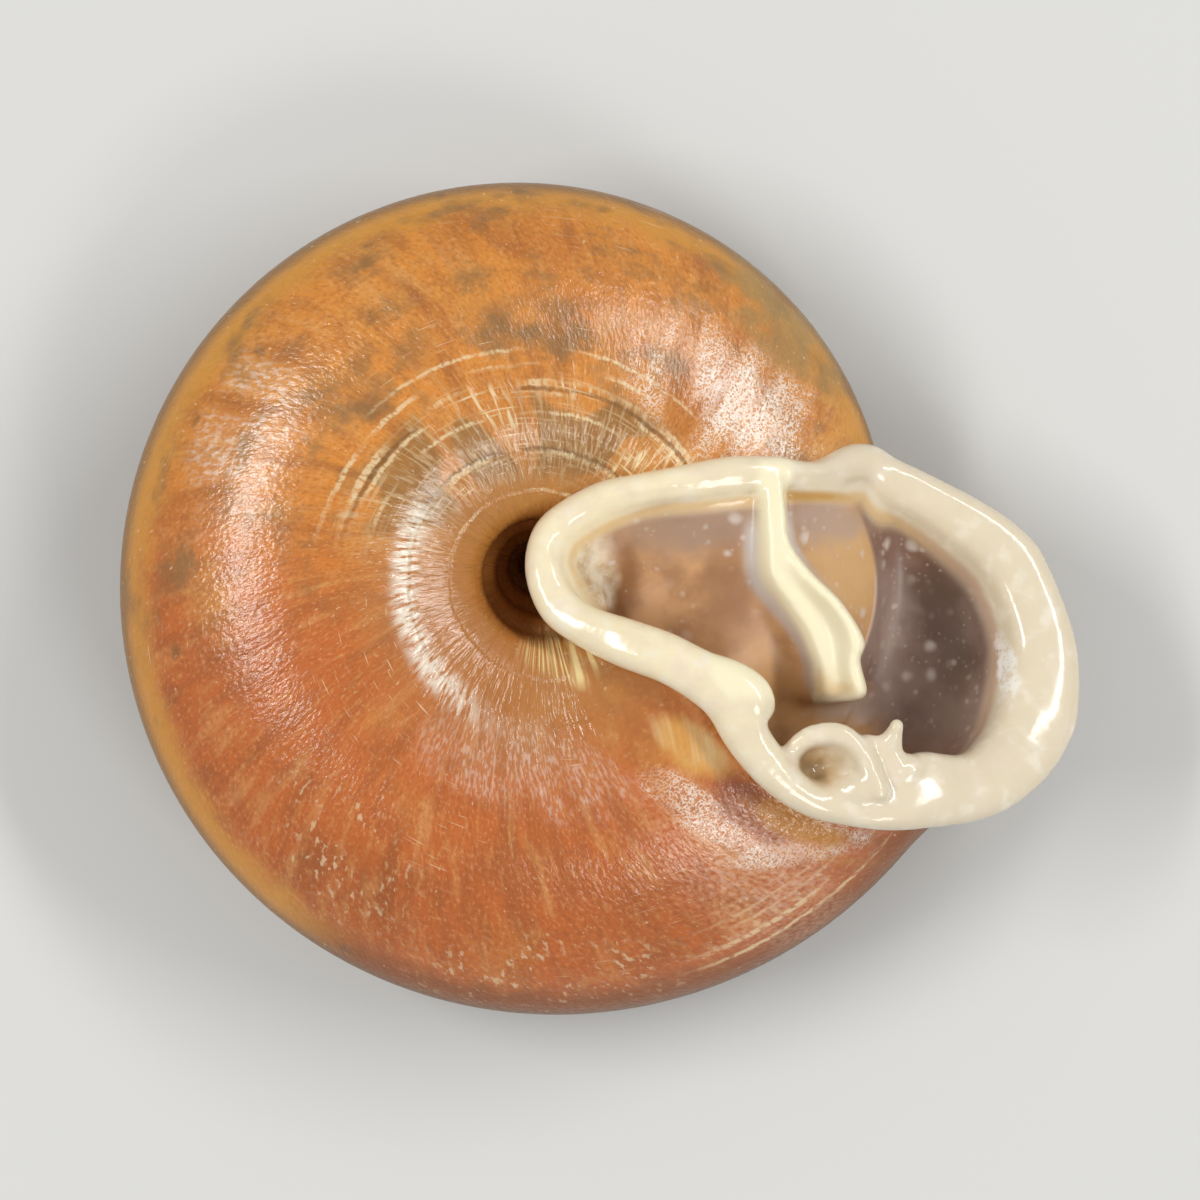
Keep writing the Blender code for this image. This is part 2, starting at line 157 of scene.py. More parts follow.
# rounded teeth as strings of balls: x, y, z and radius
teeth = {
    "fold": (
        (8.18, -4.9, 7.0, 0.8), (9.18, -5.3, 7.15, 1.0), (10.08, -5.8, 7.2, 1.15),
        (10.78, -6.4, 7.15, 1.25), (11.08, -6.85, 7.1, 1.15),
    ),
    "cup": (
        (12.9, -9.85, 5.9, 0.55), (13.1, -9.35, 6.1, 0.58), (13.55, -8.85, 6.2, 0.6),
        (14.15, -8.5, 6.25, 0.62), (14.88, -8.38, 6.25, 0.62), (15.55, -8.42, 6.25, 0.62),
        (16.05, -8.7, 6.25, 0.6), (16.48, -9.15, 6.2, 0.58), (16.83, -9.7, 6.2, 0.55),
        (17.13, -10.3, 6.25, 0.52), (17.4, -10.9, 6.3, 0.5), (17.6, -11.4, 6.3, 0.45),
    ),
    "cupBack": (
        (13.2, -10.0, 5.2, 0.7), (13.9, -9.2, 5.2, 0.8), (15.1, -9.0, 5.2, 0.85),
        (16.0, -9.3, 5.2, 0.8), (16.6, -10.2, 5.2, 0.8),
    ),
    "shoulder": (
        (16.9, -8.85, 5.6, 0.5), (17.5, -9.0, 5.6, 0.5), (18.0, -9.4, 5.5, 0.6), (18.4, -10.0, 5.3, 0.8),
    ),
    "shoulderBack": (
        (17.38, -9.9, 5.1, 0.8), (18.1, -10.3, 5.0, 0.9), (17.7, -11.2, 5.0, 0.9), (19.1, -10.3, 5.0, 0.9),
    ),
    "floor": (
        (14.18, -10.2, 4.3, 1.1), (15.18, -10.0, 4.3, 1.1), (15.98, -10.2, 4.5, 1.0),
        (15.4, -10.9, 5.2, 0.9), (16.6, -11.3, 5.8, 0.9),
    ),
    "hook": (
        (18.0, -9.6, 5.3, 0.8), (18.1, -9.0, 5.5, 0.68), (18.3, -8.45, 5.75, 0.48),
        (18.4, -8.15, 5.9, 0.42), (18.45, -8.0, 6.0, 0.42),
    ),
}

# the hollow pressed into the cup: centre, reach along and across, turn, depth, and no point under this height
dent = {"x": 14.5, "y": -10.0, "along": 1.25, "across": 0.8, "turned": -33.0, "depth": 0.5, "above": 3.5}


def blend(before, start, end, after, part):
    linear = (end - before) * part
    square = (2 * before - 5 * start + 4 * end - after) * part ** 2
    cube = (3 * start - before - 3 * end + after) * part ** 3
    return 0.5 * (2 * start + linear + square + cube)


def smoothOpen(points, places):
    points = np.asarray(points, float)
    last = len(points) - 1
    cell = np.clip(np.floor(places).astype(int), 0, last - 1)
    part = (places - cell).reshape((-1,) + (1,) * (points.ndim - 1))
    around = [points[np.clip(cell + shift, 0, last)] for shift in (-1, 0, 1, 2)]
    return blend(*around, part)


def smoothLoop(points, places):
    points = np.asarray(points, float)
    cell = np.floor(places).astype(int)
    part = (places - cell)[:, None]
    around = [points[(cell + shift) % len(points)] for shift in (-1, 0, 1, 2)]
    return blend(*around, part)


def unit(v):
    return v / np.maximum(np.linalg.norm(v, axis=-1, keepdims=True), 1e-9)


# the base outline by arc length, with its outward normal
outline = smoothOpen(baseShape, np.linspace(0, len(baseShape) - 1, 400))
outlineArc = np.concatenate([[0.0], np.cumsum(np.linalg.norm(np.diff(outline, axis=0), axis=1))])
outlineArc = outlineArc / outlineArc[-1]
outlineNormal = unit(np.stack([np.gradient(outline[:, 1]), -np.gradient(outline[:, 0])], axis=1))


def onOutline(share, column):
    return np.interp(share, outlineArc, outline[:, column])


def offOutline(share, column):
    return np.interp(share, outlineArc, outlineNormal[:, column])


def periphery(turn):
    return coil["mouthRadius"] * (np.maximum(turn, 0.0) / coil["whorls"]) ** coil["growthPower"]


def level(radius):
    return -coil["spireDepth"] * (1.0 - (radius / coil["mouthRadius"]) ** coil["spireDome"])


def turnAt(azimuth):
    return coil["whorls"] + (azimuth - coil["endAzimuth"]) / 360.0


def bulge(share):
    return (4.0 * share * (1.0 - share)) ** 0.75


def spirePoint(turn, share, inset):
    before = periphery(turn - 1.0)
    now = periphery(turn)
    chordR = now - before
    chordZ = level(now) - level(before)
    high = coil["spireBulge"] * bulge(share)
    length = np.maximum(np.hypot(chordR, chordZ), 1e-9)
    r = before + chordR * share + chordZ * high - inset * chordZ / length
    z = level(before) + chordZ * share - chordR * high + inset * chordR / length
    return r, z


def basePoint(turn, share, inset):
    now = periphery(turn)
    r = onOutline(share, 0) * now - offOutline(share, 0) * inset
    z = level(now) + onOutline(share, 1) * now - offOutline(share, 1) * inset
    return r, z


def sectionPoint(turn, place, wall, parietal):
    # a deep wall keeps clear of the suture and turns back before the umbilicus
    deep = wall > 0.4
    if place < spireEnd:
        share = place / spireEnd * (0.82 if deep else 1.0)
        return spirePoint(turn, share, wall)
    if place < baseEnd:
        share = (place - spireEnd) / (baseEnd - spireEnd)
        if deep:
            share = share if share < 0.6 else 0.6 + (share - 0.6) * 0.5
            share = 0.03 + 0.97 * share
        return basePoint(turn, share, wall)
    share = (0.72 if deep else 0.95) * (1.0 - (place - baseEnd) / (roundEnd - baseEnd))
    return basePoint(turn - 1.0, share, parietal)


def coilPoint(turn, place, wall, parietal):
    r, z = sectionPoint(turn, place, wall, parietal)
    angle = math.radians(coil["endAzimuth"]) + 2.0 * math.pi * (turn - coil["whorls"])
    return np.array([r * math.cos(angle), r * math.sin(angle), z])


def leaving(places):
    # the turn at which each place leaves the coil, and the place round the lip that it reaches
    azimuths = np.interp(places, leaveCoil[:, 0], leaveCoil[:, 2])
    return turnAt(azimuths), np.interp(places, leaveCoil[:, 0], leaveCoil[:, 1])


def lipFrame(places):
    rows = smoothLoop(lip["line"], places)
    low = rows[:, 4] - lip["crestDrop"]
    outer = np.column_stack([rows[:, 0], rows[:, 1], low])
    inner = np.column_stack([rows[:, 2], rows[:, 3], low])
    half = 0.5 * np.linalg.norm(outer - inner, axis=1)
    out = unit(outer - inner)
    ahead = smoothLoop(lip["line"], places + 0.05)[:, [0, 1, 4]]
    behind = smoothLoop(lip["line"], places - 0.05)[:, [0, 1, 4]]
    up = unit(np.cross(out, ahead - behind))
    up[up[:, 2] < 0] *= -1.0
    return 0.5 * (outer + inner), out, up, half


def backWay(out, up):
    # the way the shell's skin runs where it meets the lip's back
    return up * 0.8 + out * 0.4


def hermite(start, go, end, arrive, part):
    a = 2 * part ** 3 - 3 * part ** 2 + 1
    b = part ** 3 - 2 * part ** 2 + part
    c = -2 * part ** 3 + 3 * part ** 2
    d = part ** 3 - part ** 2
    return a * start + b * go + c * end + d * arrive


def leanMatrix():
    a = math.radians(coil["leanX"])
    b = math.radians(coil["leanY"])
    aboutX = np.array([[1, 0, 0], [0, math.cos(a), -math.sin(a)], [0, math.sin(a), math.cos(a)]])
    aboutY = np.array([[math.cos(b), 0, math.sin(b)], [0, 1, 0], [-math.sin(b), 0, math.cos(b)]])
    return aboutY @ aboutX


def lean(points):
    return points @ leanMatrix().T


def unlean(points):
    return points @ np.linalg.inv(leanMatrix().T)


vectorNode = "ShaderNodeVectorMath"
noiseNode = "ShaderNodeTexNoise"
rangeNode = "ShaderNodeMapRange"
joinNode = "ShaderNodeCombineXYZ"
turnNode = "ShaderNodeVectorRotate"


def toLinear(code):
    values = [int(code[i:i + 2], 16) / 255.0 for i in (1, 3, 5)]
    return tuple(v / 12.92 if v <= 0.04045 else ((v + 0.055) / 1.055) ** 2.4 for v in values) + (1.0,)


def fill(tree, node, inputs):
    # a node's inputs by name or number: each a socket, a value or a hex colour
    for key, value in inputs.items():
        if isinstance(value, bpy.types.NodeSocket):
            tree.links.new(value, node.inputs[key])
        elif isinstance(value, str) and value.startswith("#"):
            node.inputs[key].default_value = toLinear(value)
        else:
            node.inputs[key].default_value = value


def add(tree, kind, *inputs, out=0, **settings):
    # one node with its inputs, in order or in a dictionary; a kind in capitals is a Math operation
    if kind.isupper():
        settings["operation"] = kind
        kind = "ShaderNodeMath"
    node = tree.nodes.new(kind)
    for name, value in settings.items():
        setattr(node, name, value)
    inDictionary = bool(inputs) and isinstance(inputs[0], dict)
    fill(tree, node, inputs[0] if inDictionary else dict(enumerate(inputs)))
    return node.outputs[out]


def meshObject(name, points, faces):
    data = bpy.data.meshes.new(name)
    data.from_pydata([tuple(p) for p in points], [], faces)
    data.update()
    made = bpy.data.objects.new(name, data)
    bpy.context.scene.collection.objects.link(made)
    return made


def applyModifiers(made):
    # replaces an object's mesh with what its modifiers make of it
    graph = bpy.context.evaluated_depsgraph_get()
    graph.update()
    data = bpy.data.meshes.new_from_object(made.evaluated_get(graph))
    made.modifiers.clear()
    made.data = data


def writeValues(data, name, values):
    values = np.asarray(values, float)
    kind = "FLOAT" if values.ndim == 1 else "FLOAT_VECTOR"
    made = data.attributes.get(name) or data.attributes.new(name, kind, "POINT")
    made.data.foreach_set("value" if values.ndim == 1 else "vector", values.ravel())


def readPoints(data):
    flat = np.zeros(len(data.vertices) * 3)
    data.vertices.foreach_get("co", flat)
    return flat.reshape(-1, 3)


def writePoints(data, points):
    data.vertices.foreach_set("co", points.ravel())
    data.update()


def gridFaces(rows, columns, first=0, closed=False):
    faces = []
    for r in range(rows - 1):
        here = first + r * columns
        above = here + columns
        for k in range(columns if closed else columns - 1):
            m = (k + 1) % columns
            faces.append((here + k, here + m, above + m, above + k))
    return faces


def whorlGrid():
    # a plain grid of growth lines, with what the coil tree needs to shape it
    spire = np.linspace(0.0, spireEnd, coil["spireColumns"] + 1)[:-1]
    base = np.linspace(spireEnd, baseEnd, coil["baseColumns"] + 1)
    places = np.concatenate([spire, base])
    last, lipPlaces = leaving(places)
    centre, out, up, half = lipFrame(lipPlaces)
    # rings stand closer together where the coil is wide
    share = np.linspace(0.0, 1.0, coil["ringsCoil"])
    share = 1.55 * share - 0.55 * share ** 2
    flares = np.linspace(0.0, 1.0, coil["ringsMouth"] + 1)[1:]
    turn = np.concatenate([share[:, None] * last, np.repeat(last[None, :], len(flares), 0)])
    flare = np.zeros(turn.shape)
    flare[len(share):] = flares[:, None]
    made = meshObject("whorls", np.zeros((turn.size, 3)), gridFaces(*turn.shape))
    spireShare = np.clip(places / spireEnd, 0.0, 1.0)
    baseShare = np.clip((places - spireEnd) / (baseEnd - spireEnd), 0.0, 1.0)
    # the skin climbs the back of the lip, nearly to its edge on the spire side
    aside = np.interp(places, (0.0, 18.0, 28.0), (0.46, 0.46, 0.25)) * half
    below = np.interp(places, (0.0, 18.0, 28.0), (0.9, 0.9, 0.35))
    byPlace = {
        "around": places / baseEnd,
        "side": (places >= spireEnd).astype(float),
        "spireShare": spireShare,
        "spireRise": bulge(spireShare),
        "outlineR": onOutline(baseShare, 0),
        "outlineZ": onOutline(baseShare, 1),
        "lipPoint": centre + out * aside[:, None] - up * below[:, None],
        "lipArrive": backWay(out, up),
    }
    for name, values in byPlace.items():
        writeValues(made.data, name, np.concatenate([values] * len(turn)))
    writeValues(made.data, "turn", turn.ravel())
    writeValues(made.data, "flare", flare.ravel())
    writeValues(made.data, "grow", (turn + flare * coil["flareLength"] / coil["lastTurnLength"]).ravel())
    return made


# the coil's measures that one point needs
pointSizes = ("whorls", "mouthRadius", "growthPower", "spireDepth", "spireDome", "spireBulge", "endAzimuth")


def pointGroup():
    # one point of the coil from its turn
    tree = bpy.data.node_groups.new("coilPoint", "GeometryNodeTree")
    for name in ("turn",) + pointSizes:
        tree.interface.new_socket(name, in_out="INPUT", socket_type="NodeSocketFloat")
    tree.interface.new_socket("point", in_out="OUTPUT", socket_type="NodeSocketVector")
    given = tree.nodes.new("NodeGroupInput").outputs
    node = partial(add, tree)
    names = ("side", "spireShare", "spireRise", "outlineR", "outlineZ")
    stored = {n: node("GeometryNodeInputNamedAttribute", {"Name": n}, data_type="FLOAT") for n in names}

    def radiusAt(turn):
        ratio = node("MAXIMUM", turn, 0.0)
        ratio = node("DIVIDE", ratio, given["whorls"])
        ratio = node("POWER", ratio, given["growthPower"])
        return node("MULTIPLY", ratio, given["mouthRadius"])

    def levelAt(radius):
        ratio = node("DIVIDE", radius, given["mouthRadius"])
        ratio = node("POWER", ratio, given["spireDome"])
        ratio = node("SUBTRACT", ratio, 1.0)
        return node("MULTIPLY", ratio, given["spireDepth"])

    now = radiusAt(given["turn"])
    before = radiusAt(node("SUBTRACT", given["turn"], 1.0))
    nowZ = levelAt(now)
    beforeZ = levelAt(before)
    chordR = node("SUBTRACT", now, before)
    chordZ = node("SUBTRACT", nowZ, beforeZ)
    rising = node("MULTIPLY", stored["spireRise"], given["spireBulge"])
    spireR = node("MULTIPLY_ADD", chordR, stored["spireShare"], before)
    spireR = node("MULTIPLY_ADD", chordZ, rising, spireR)
    spireZ = node("MULTIPLY_ADD", chordZ, stored["spireShare"], beforeZ)
    outwards = node("MULTIPLY", chordR, rising)
    spireZ = node("SUBTRACT", spireZ, outwards)
    baseR = node("MULTIPLY", stored["outlineR"], now)
    baseZ = node("MULTIPLY_ADD", stored["outlineZ"], now, nowZ)
    spire = node(joinNode, spireR, 0.0, spireZ)
    base = node(joinNode, baseR, 0.0, baseZ)
    section = node("ShaderNodeMix", {0: stored["side"], 4: spire, 5: base}, out=1, data_type="VECTOR")
    angle = node("SUBTRACT", given["turn"], given["whorls"])
    angle = node("MULTIPLY_ADD", angle, 2.0 * math.pi, given["endAzimuth"])
    turned = node(turnNode, {"Vector": section, "Angle": angle}, rotation_type="Z_AXIS")
    tree.links.new(turned, tree.nodes.new("NodeGroupOutput").inputs[0])
    return tree


def towardsLip(node, start, before, stored):
    # the last stretch of growth, a smooth curve from the coil's edge to the lip's back
    lipPoint = stored["lipPoint"]
    span = node(vectorNode, start, lipPoint, out="Value", operation="DISTANCE")
    go = node(vectorNode, start, before, operation="SUBTRACT")
    go = node(vectorNode, go, operation="NORMALIZE")
    go = node(vectorNode, {0: go, 3: span}, operation="SCALE")
    arrive = node(vectorNode, {0: stored["lipArrive"], 3: span}, operation="SCALE")
    t = stored["flare"]
    square = node("POWER", t, 2.0)
    cube = node("POWER", t, 3.0)
    twice = node("MULTIPLY", cube, 2.0)
    thrice = node("MULTIPLY", square, 3.0)
    atLip = node("SUBTRACT", thrice, twice)
    atCoil = node("SUBTRACT", 1.0, atLip)
    leavingPart = node("MULTIPLY_ADD", square, -2.0, cube)
    leavingPart = node("ADD", leavingPart, t)
    arrivingPart = node("SUBTRACT", cube, square)
    total = None
    weighted = ((start, atCoil), (go, leavingPart), (lipPoint, atLip), (arrive, arrivingPart))
    for vector, weight in weighted:
        part = node(vectorNode, {0: vector, 3: weight}, operation="SCALE")
        total = part if total is None else node(vectorNode, total, part, operation="ADD")
    return total


def coilTree(material):
    point = pointGroup()
    tree = bpy.data.node_groups.new("coilTree", "GeometryNodeTree")
    tree.interface.new_socket("Geometry", in_out="INPUT", socket_type="NodeSocketGeometry")
    tree.interface.new_socket("Geometry", in_out="OUTPUT", socket_type="NodeSocketGeometry")
    for name in pointSizes + ("wrinkle", "seed"):
        tree.interface.new_socket(name, in_out="INPUT", socket_type="NodeSocketFloat")
    given = tree.nodes.new("NodeGroupInput").outputs
    node = partial(add, tree)
    kinds = {"FLOAT": ("turn", "flare", "grow", "around"), "FLOAT_VECTOR": ("lipPoint", "lipArrive")}
    stored = {}
    for kind, names in kinds.items():
        for name in names:
            stored[name] = node("GeometryNodeInputNamedAttribute", {"Name": name}, data_type=kind)

    def pointAt(turn):
        inputs = {name: given[name] for name in pointSizes}
        return node("GeometryNodeGroup", dict(inputs, turn=turn), node_tree=point)

    start = pointAt(stored["turn"])
    before = pointAt(node("SUBTRACT", stored["turn"], smallTurn))
    grown = towardsLip(node, start, before, stored)
    placed = node("GeometryNodeSetPosition", {"Geometry": given["Geometry"], "Position": grown})
    # faint irregular growth wrinkles, longer across the whorl than along it
    along = node("MULTIPLY", stored["grow"], 260.0)
    across = node("MULTIPLY", stored["around"], 14.0)
    spot = node(joinNode, along, across, given["seed"])
    high = node(noiseNode, {"Vector": spot, "Scale": 1.0, "Detail": 2.0})
    high = node("SUBTRACT", high, 0.5)
    high = node("MULTIPLY", high, given["wrinkle"])
    push = node(vectorNode, {0: node("GeometryNodeInputNormal"), 3: high}, operation="SCALE")
    rough = node("GeometryNodeSetPosition", {"Geometry": placed, "Offset": push})
    whole = node("GeometryNodeRealizeInstances", rough)
    done = node("GeometryNodeSetMaterial", {"Geometry": whole, "Material": material})
    tree.links.new(done, tree.nodes.new("NodeGroupOutput").inputs[0])
    return tree


def growWhorls(material):
    made = whorlGrid()
    shaped = made.modifiers.new("coil", "NODES")
    shaped.node_group = coilTree(material)
    values = dict(coil, endAzimuth=math.radians(coil["endAzimuth"]))
    for item in shaped.node_group.interface.items_tree:
        if item.in_out == "INPUT" and item.name in values:
            shaped[item.identifier] = float(values[item.name])
    applyModifiers(made)
    writePoints(made.data, lean(readPoints(made.data)) * mm)
    print("whorls grown", len(made.data.polygons))
    return made


def wallPoint(turn, place):
    return coilPoint(turn, place, lip["wall"], lip["overWall"])


def backPoint(turn, place):
    return coilPoint(turn, place, lip["back"], lip["overBack"])


def overPrevious(places):
    # where the mouth's wall lies on the base of the previous whorl
    return (places > 40.0) | (places < 2.0)


def previousWhorl(points):
    # distance from the axis, azimuth, and the previous whorl's radius there
    azimuth = np.arctan2(points[:, 1], points[:, 0])
    radius = periphery(turnAt(np.degrees(azimuth)) - 1.0)
    return np.hypot(points[:, 0], points[:, 1]), azimuth, radius


def aboveWhorl(points, gap):
    # lifts points that would sink into the base of the previous whorl, softly
    softness = 0.12
    r, azimuth, radius = previousWhorl(points)
    q = np.column_stack([r, points[:, 2] - level(radius)]) / radius[:, None]
    away = q[:, None, :] - outline[None, ::4, :]
    near = np.argmin((away ** 2).sum(axis=2), axis=1)
    normal = outlineNormal[::4][near]
    height = (away[np.arange(len(q)), near] * normal).sum(axis=1) * radius
    push = np.log1p(np.exp(np.clip((gap - height) / softness, -30, 30))) * softness
    q = q + normal * (push / radius)[:, None]
    out = q[:, 0] * radius
    return np.column_stack([out * np.cos(azimuth), out * np.sin(azimuth), q[:, 1] * radius + level(radius)])


def wallHeight(x, y):
    # height of the glazed wall over the previous whorl, above a plan position
    z = np.full(len(x), 3.0)
    order = np.argsort(outline[:, 0])
    for _ in range(5):
        bare = unlean(np.column_stack([x, y, z]))
        r, _, radius = previousWhorl(bare)
        top = level(radius) + radius * np.interp(r / radius, outline[order, 0], outline[order, 1])
        z = z + top - bare[:, 2]
    return z


def lipFace(centre, out, up, half, curl):
    # from the inner edge over the crest to the outer edge and back under it
    angles = np.radians(np.linspace(curl, -75.0, lip["faceRows"]))
    thick = 0.5 * lip["thickness"]
    x = np.sign(np.cos(angles)) * np.abs(np.cos(angles)) ** 0.8
    y = np.sign(np.sin(angles)) * np.abs(np.sin(angles)) ** 0.85
    return centre + out * (half * x)[:, None] + up * (thick * y)[:, None]


def wallDepth(places):
    # how far in, in turns, the fused wall reaches: furthest over the previous whorl and along the floor
    return np.interp(places, (0.0, 8.0, 14.0, 38.0, 43.0, 64.0), (0.2, 0.16, 0.06, 0.06, 0.2, 0.2))


def mouthRows():
    # columns round the mouth: out along the wall, up the ramp, over the lip's face and down behind it
    places = np.linspace(0.0, roundEnd, lip["steps"], endpoint=False)
    last, lipPlaces = leaving(places)
    centre, out, up, half = lipFrame(lipPlaces)
    curls = np.interp(lipPlaces % len(lip["line"]), *zip(*lip["curl"]))
    pulls = np.interp(places, (0.0, 6.0, 36.0, 44.0, 58.0, 64.0), (0.8, 1.1, 1.1, 0.4, 0.4, 0.8))
    depths = wallDepth(places)
    parts = np.linspace(0.0, 1.0, lip["rampRows"] + 2)[1:-1, None]
    columns = []
    for k, place in enumerate(places):
        turns = np.linspace(last[k] - depths[k], last[k], lip["wallRows"])
        inner = np.array([wallPoint(t, place) for t in turns])
        face = lipFace(centre[k], out[k], up[k], half[k], curls[k])
        start = inner[-1]
        go = unit(start - wallPoint(last[k] - smallTurn, place))
        span = np.linalg.norm(face[0] - start)
        arrive = unit(face[1] - face[0]) * span * pulls[k]
        ramp = hermite(start, go * span, face[0], arrive, parts)
        if overPrevious(place):
            ramp = aboveWhorl(ramp, lip["glaze"])
            inner = aboveWhorl(inner, lip["glaze"])
        backStart = backPoint(last[k], place)
        backGo = unit(backStart - backPoint(last[k] - smallTurn, place))
        backSpan = np.linalg.norm(face[-1] - backStart)
        backArrive = backWay(out[k], up[k]) * backSpan
        back = hermite(backStart, backGo * backSpan, face[-1], backArrive, parts[::2])
        backCoil = np.array([backPoint(t, place) for t in turns])
        columns.append(np.concatenate([inner, ramp, face, back[::-1], backCoil[::-1]]))
    return np.array(columns)


def ball(work, centre, radius):
    made = bmesh.ops.create_icosphere(work, subdivisions=3, radius=radius)
    bmesh.ops.translate(work, verts=made["verts"], vec=centre)


def lamellaBody():
    # rings across the lamella, each from its left foot over both ridges to its underside
    rows = []
    for foot, left, crease, right in lamella:
        foot = np.array(foot)
        left, crease, right = np.array(left), np.array(crease), np.array(right)
        across = unit(right[:2] - left[:2])
        spots = np.array([foot - across * 0.5, foot, 0.55 * foot + 0.45 * left[:2], right[:2] + across * 0.1])
        wall = wallHeight(spots[:, 0], spots[:, 1])
        outerFoot = np.append(spots[0], wall[0] - 0.1)
        innerFoot = np.append(spots[1], wall[1] + 0.22)
        rising = np.append(spots[2], wall[2] + 0.42 * (left[2] - wall[2]))
        under = np.append(spots[3], min(wall[3], right[2] - 1.0) - 0.6)
        deepLeft = outerFoot - [0.0, 0.0, 1.0]
        rows.append([deepLeft, outerFoot, innerFoot, rising, left, crease, right, under])
    section = np.array(rows)
    along = smoothOpen(section, np.linspace(0, len(section) - 1, lamellaGrid["stations"]))
    places = np.linspace(0, section.shape[1] - 1, lamellaGrid["ringPoints"])
    return np.array([smoothOpen(row, places) for row in along])


def ringFaces(rings, first):
    # the faces of a tube of rings, with both ends closed
    count = rings.shape[1]
    last = first + (len(rings) - 1) * count
    faces = gridFaces(len(rings), count, first, True)
    faces.append([first + k for k in range(count)])
    faces.append([last + k for k in range(count)][::-1])
    return faces


def beadRows():
    rows = []
    for beads in teeth.values():
        beads = np.array(beads)
        rows.extend(smoothOpen(beads, np.linspace(0, len(beads) - 1, 5 * len(beads))))
    return np.array(rows)


def fuseMouth():
    # wall, lip, lamella and teeth become one skin
    columns = mouthRows()
    steps, rows = columns.shape[:2]
    grid = lean(columns.reshape(-1, 3)).reshape(columns.shape)
    rings = lamellaBody()
    points = np.concatenate([grid.transpose(1, 0, 2).reshape(-1, 3), rings.reshape(-1, 3)])
    faces = gridFaces(rows, steps, 0, True)
    last = (rows - 1) * steps
    for k in range(steps):
        m = (k + 1) % steps
        faces.append((last + k, last + m, m, k))
    faces.extend(ringFaces(rings, rows * steps))
    made = meshObject("mouth", points * mm, faces)
    work = bmesh.new()
    work.from_mesh(made.data)
    for row in beadRows():
        ball(work, Vector(row[:3]) * mm, row[3] * mm)
    bmesh.ops.recalc_face_normals(work, faces=work.faces)
    work.to_mesh(made.data)
    work.free()
    fused = made.modifiers.new("fuse", "REMESH")
    fused.mode = "VOXEL"
    fused.voxel_size = lip["voxel"] * mm
    fused.use_smooth_shade = True
    applyModifiers(made)
    return made, grid


def relax(values, edges, rounds):
    # moves every point's values halfway to the mean of its neighbours, round after round
    a = edges[:, 0]
    b = edges[:, 1]
    size = len(values)
    count = np.maximum(np.bincount(a, minlength=size) + np.bincount(b, minlength=size), 1)
    moved = values.reshape(size, -1).copy()
    for _ in range(rounds):
        total = np.empty_like(moved)
        for c in range(moved.shape[1]):
            total[:, c] = np.bincount(a, moved[b, c], size) + np.bincount(b, moved[a, c], size)
        moved += 0.5 * (total / count[:, None] - moved)
    return moved.reshape(values.shape)


def relaxWhere(points, edges, weight, rounds):
    return points + weight[:, None] * (relax(points, edges, rounds) - points)


def nearestOf(spots, points):
    spots = spots.reshape(-1, 3)
    tree = KDTree(len(spots))
    for i, p in enumerate(spots):
        tree.insert(p, i)
    tree.balance()
    found = [tree.find(p) for p in points]
    return np.array([f[1] for f in found]), np.array([f[2] for f in found])


# how far ivory reaches from the lamella's ridges, down its right flank and from the teeth, in millimetres
ivoryReach = {
    "ridge": 0.9,
    "flank": 0.35,
    "flankShare": 0.8,
    "flankSteps": 24,
    "teeth": 0.35,
}


def toothCover(points):
    # 1 on the lamella's ridges and on the teeth, falling to 0 where they join the wall
    rings = lamellaBody()
    left = rings[:, lamellaGrid["leftRidge"]]
    right = rings[:, lamellaGrid["rightRidge"]]
    under = rings[:, lamellaGrid["under"]]
    _, gap = nearestOf(rings[:, lamellaGrid["leftRidge"]:lamellaGrid["rightRidge"] + 1], points)
    cover = np.clip(1.25 - gap / ivoryReach["ridge"], 0, 1)
    # down its steep right flank the lamella stays ivory, thinning out above the wall
    steps = ivoryReach["flankSteps"]
    down = np.linspace(0.0, ivoryReach["flankShare"], steps)[None, :, None]
    flank = right[:, None] * (1.0 - down) + under[:, None] * down
    index, gap = nearestOf(flank, points)
    thinning = np.clip((steps - index % steps) / 14.0, 0, 1)
    cover = np.maximum(cover, np.clip(1.4 - gap / ivoryReach["flank"], 0, 1) * thinning)
    # beside its left ridge it fades into the wall
    index, _ = nearestOf(left * [1, 1, 0], points * [1, 1, 0])
    across = unit((right - left)[:, :2])[index]
    offset = (points - left[index])[:, :2]
    ends = np.clip((len(left) - 1 - index) / 10.0, 0, 1)
    reach = np.interp(index, (0, 25, 45, 69), (1.3, 1.6, 1.0, 0.8))
    beside = np.clip(1.0 - np.linalg.norm(offset, axis=1) / reach, 0, 1)
    cover = np.maximum(cover, beside * ends * ((offset * across).sum(axis=1) < 0.1))
    for row in beadRows():
        gap = np.linalg.norm(points - row[:3], axis=1) - row[3]
        cover = np.maximum(cover, np.clip(1.2 - gap / ivoryReach["teeth"], 0, 1))
    return cover


def pressDent(points):
    a = math.radians(dent["turned"])
    x = points[:, 0] - dent["x"]
    y = points[:, 1] - dent["y"]
    u = (x * math.cos(a) + y * math.sin(a)) / dent["along"]
    v = (y * math.cos(a) - x * math.sin(a)) / dent["across"]
    near = np.exp(-(u ** 2 + v ** 2) ** 1.5)
    points[:, 2] -= dent["depth"] * near * (points[:, 2] > dent["above"])


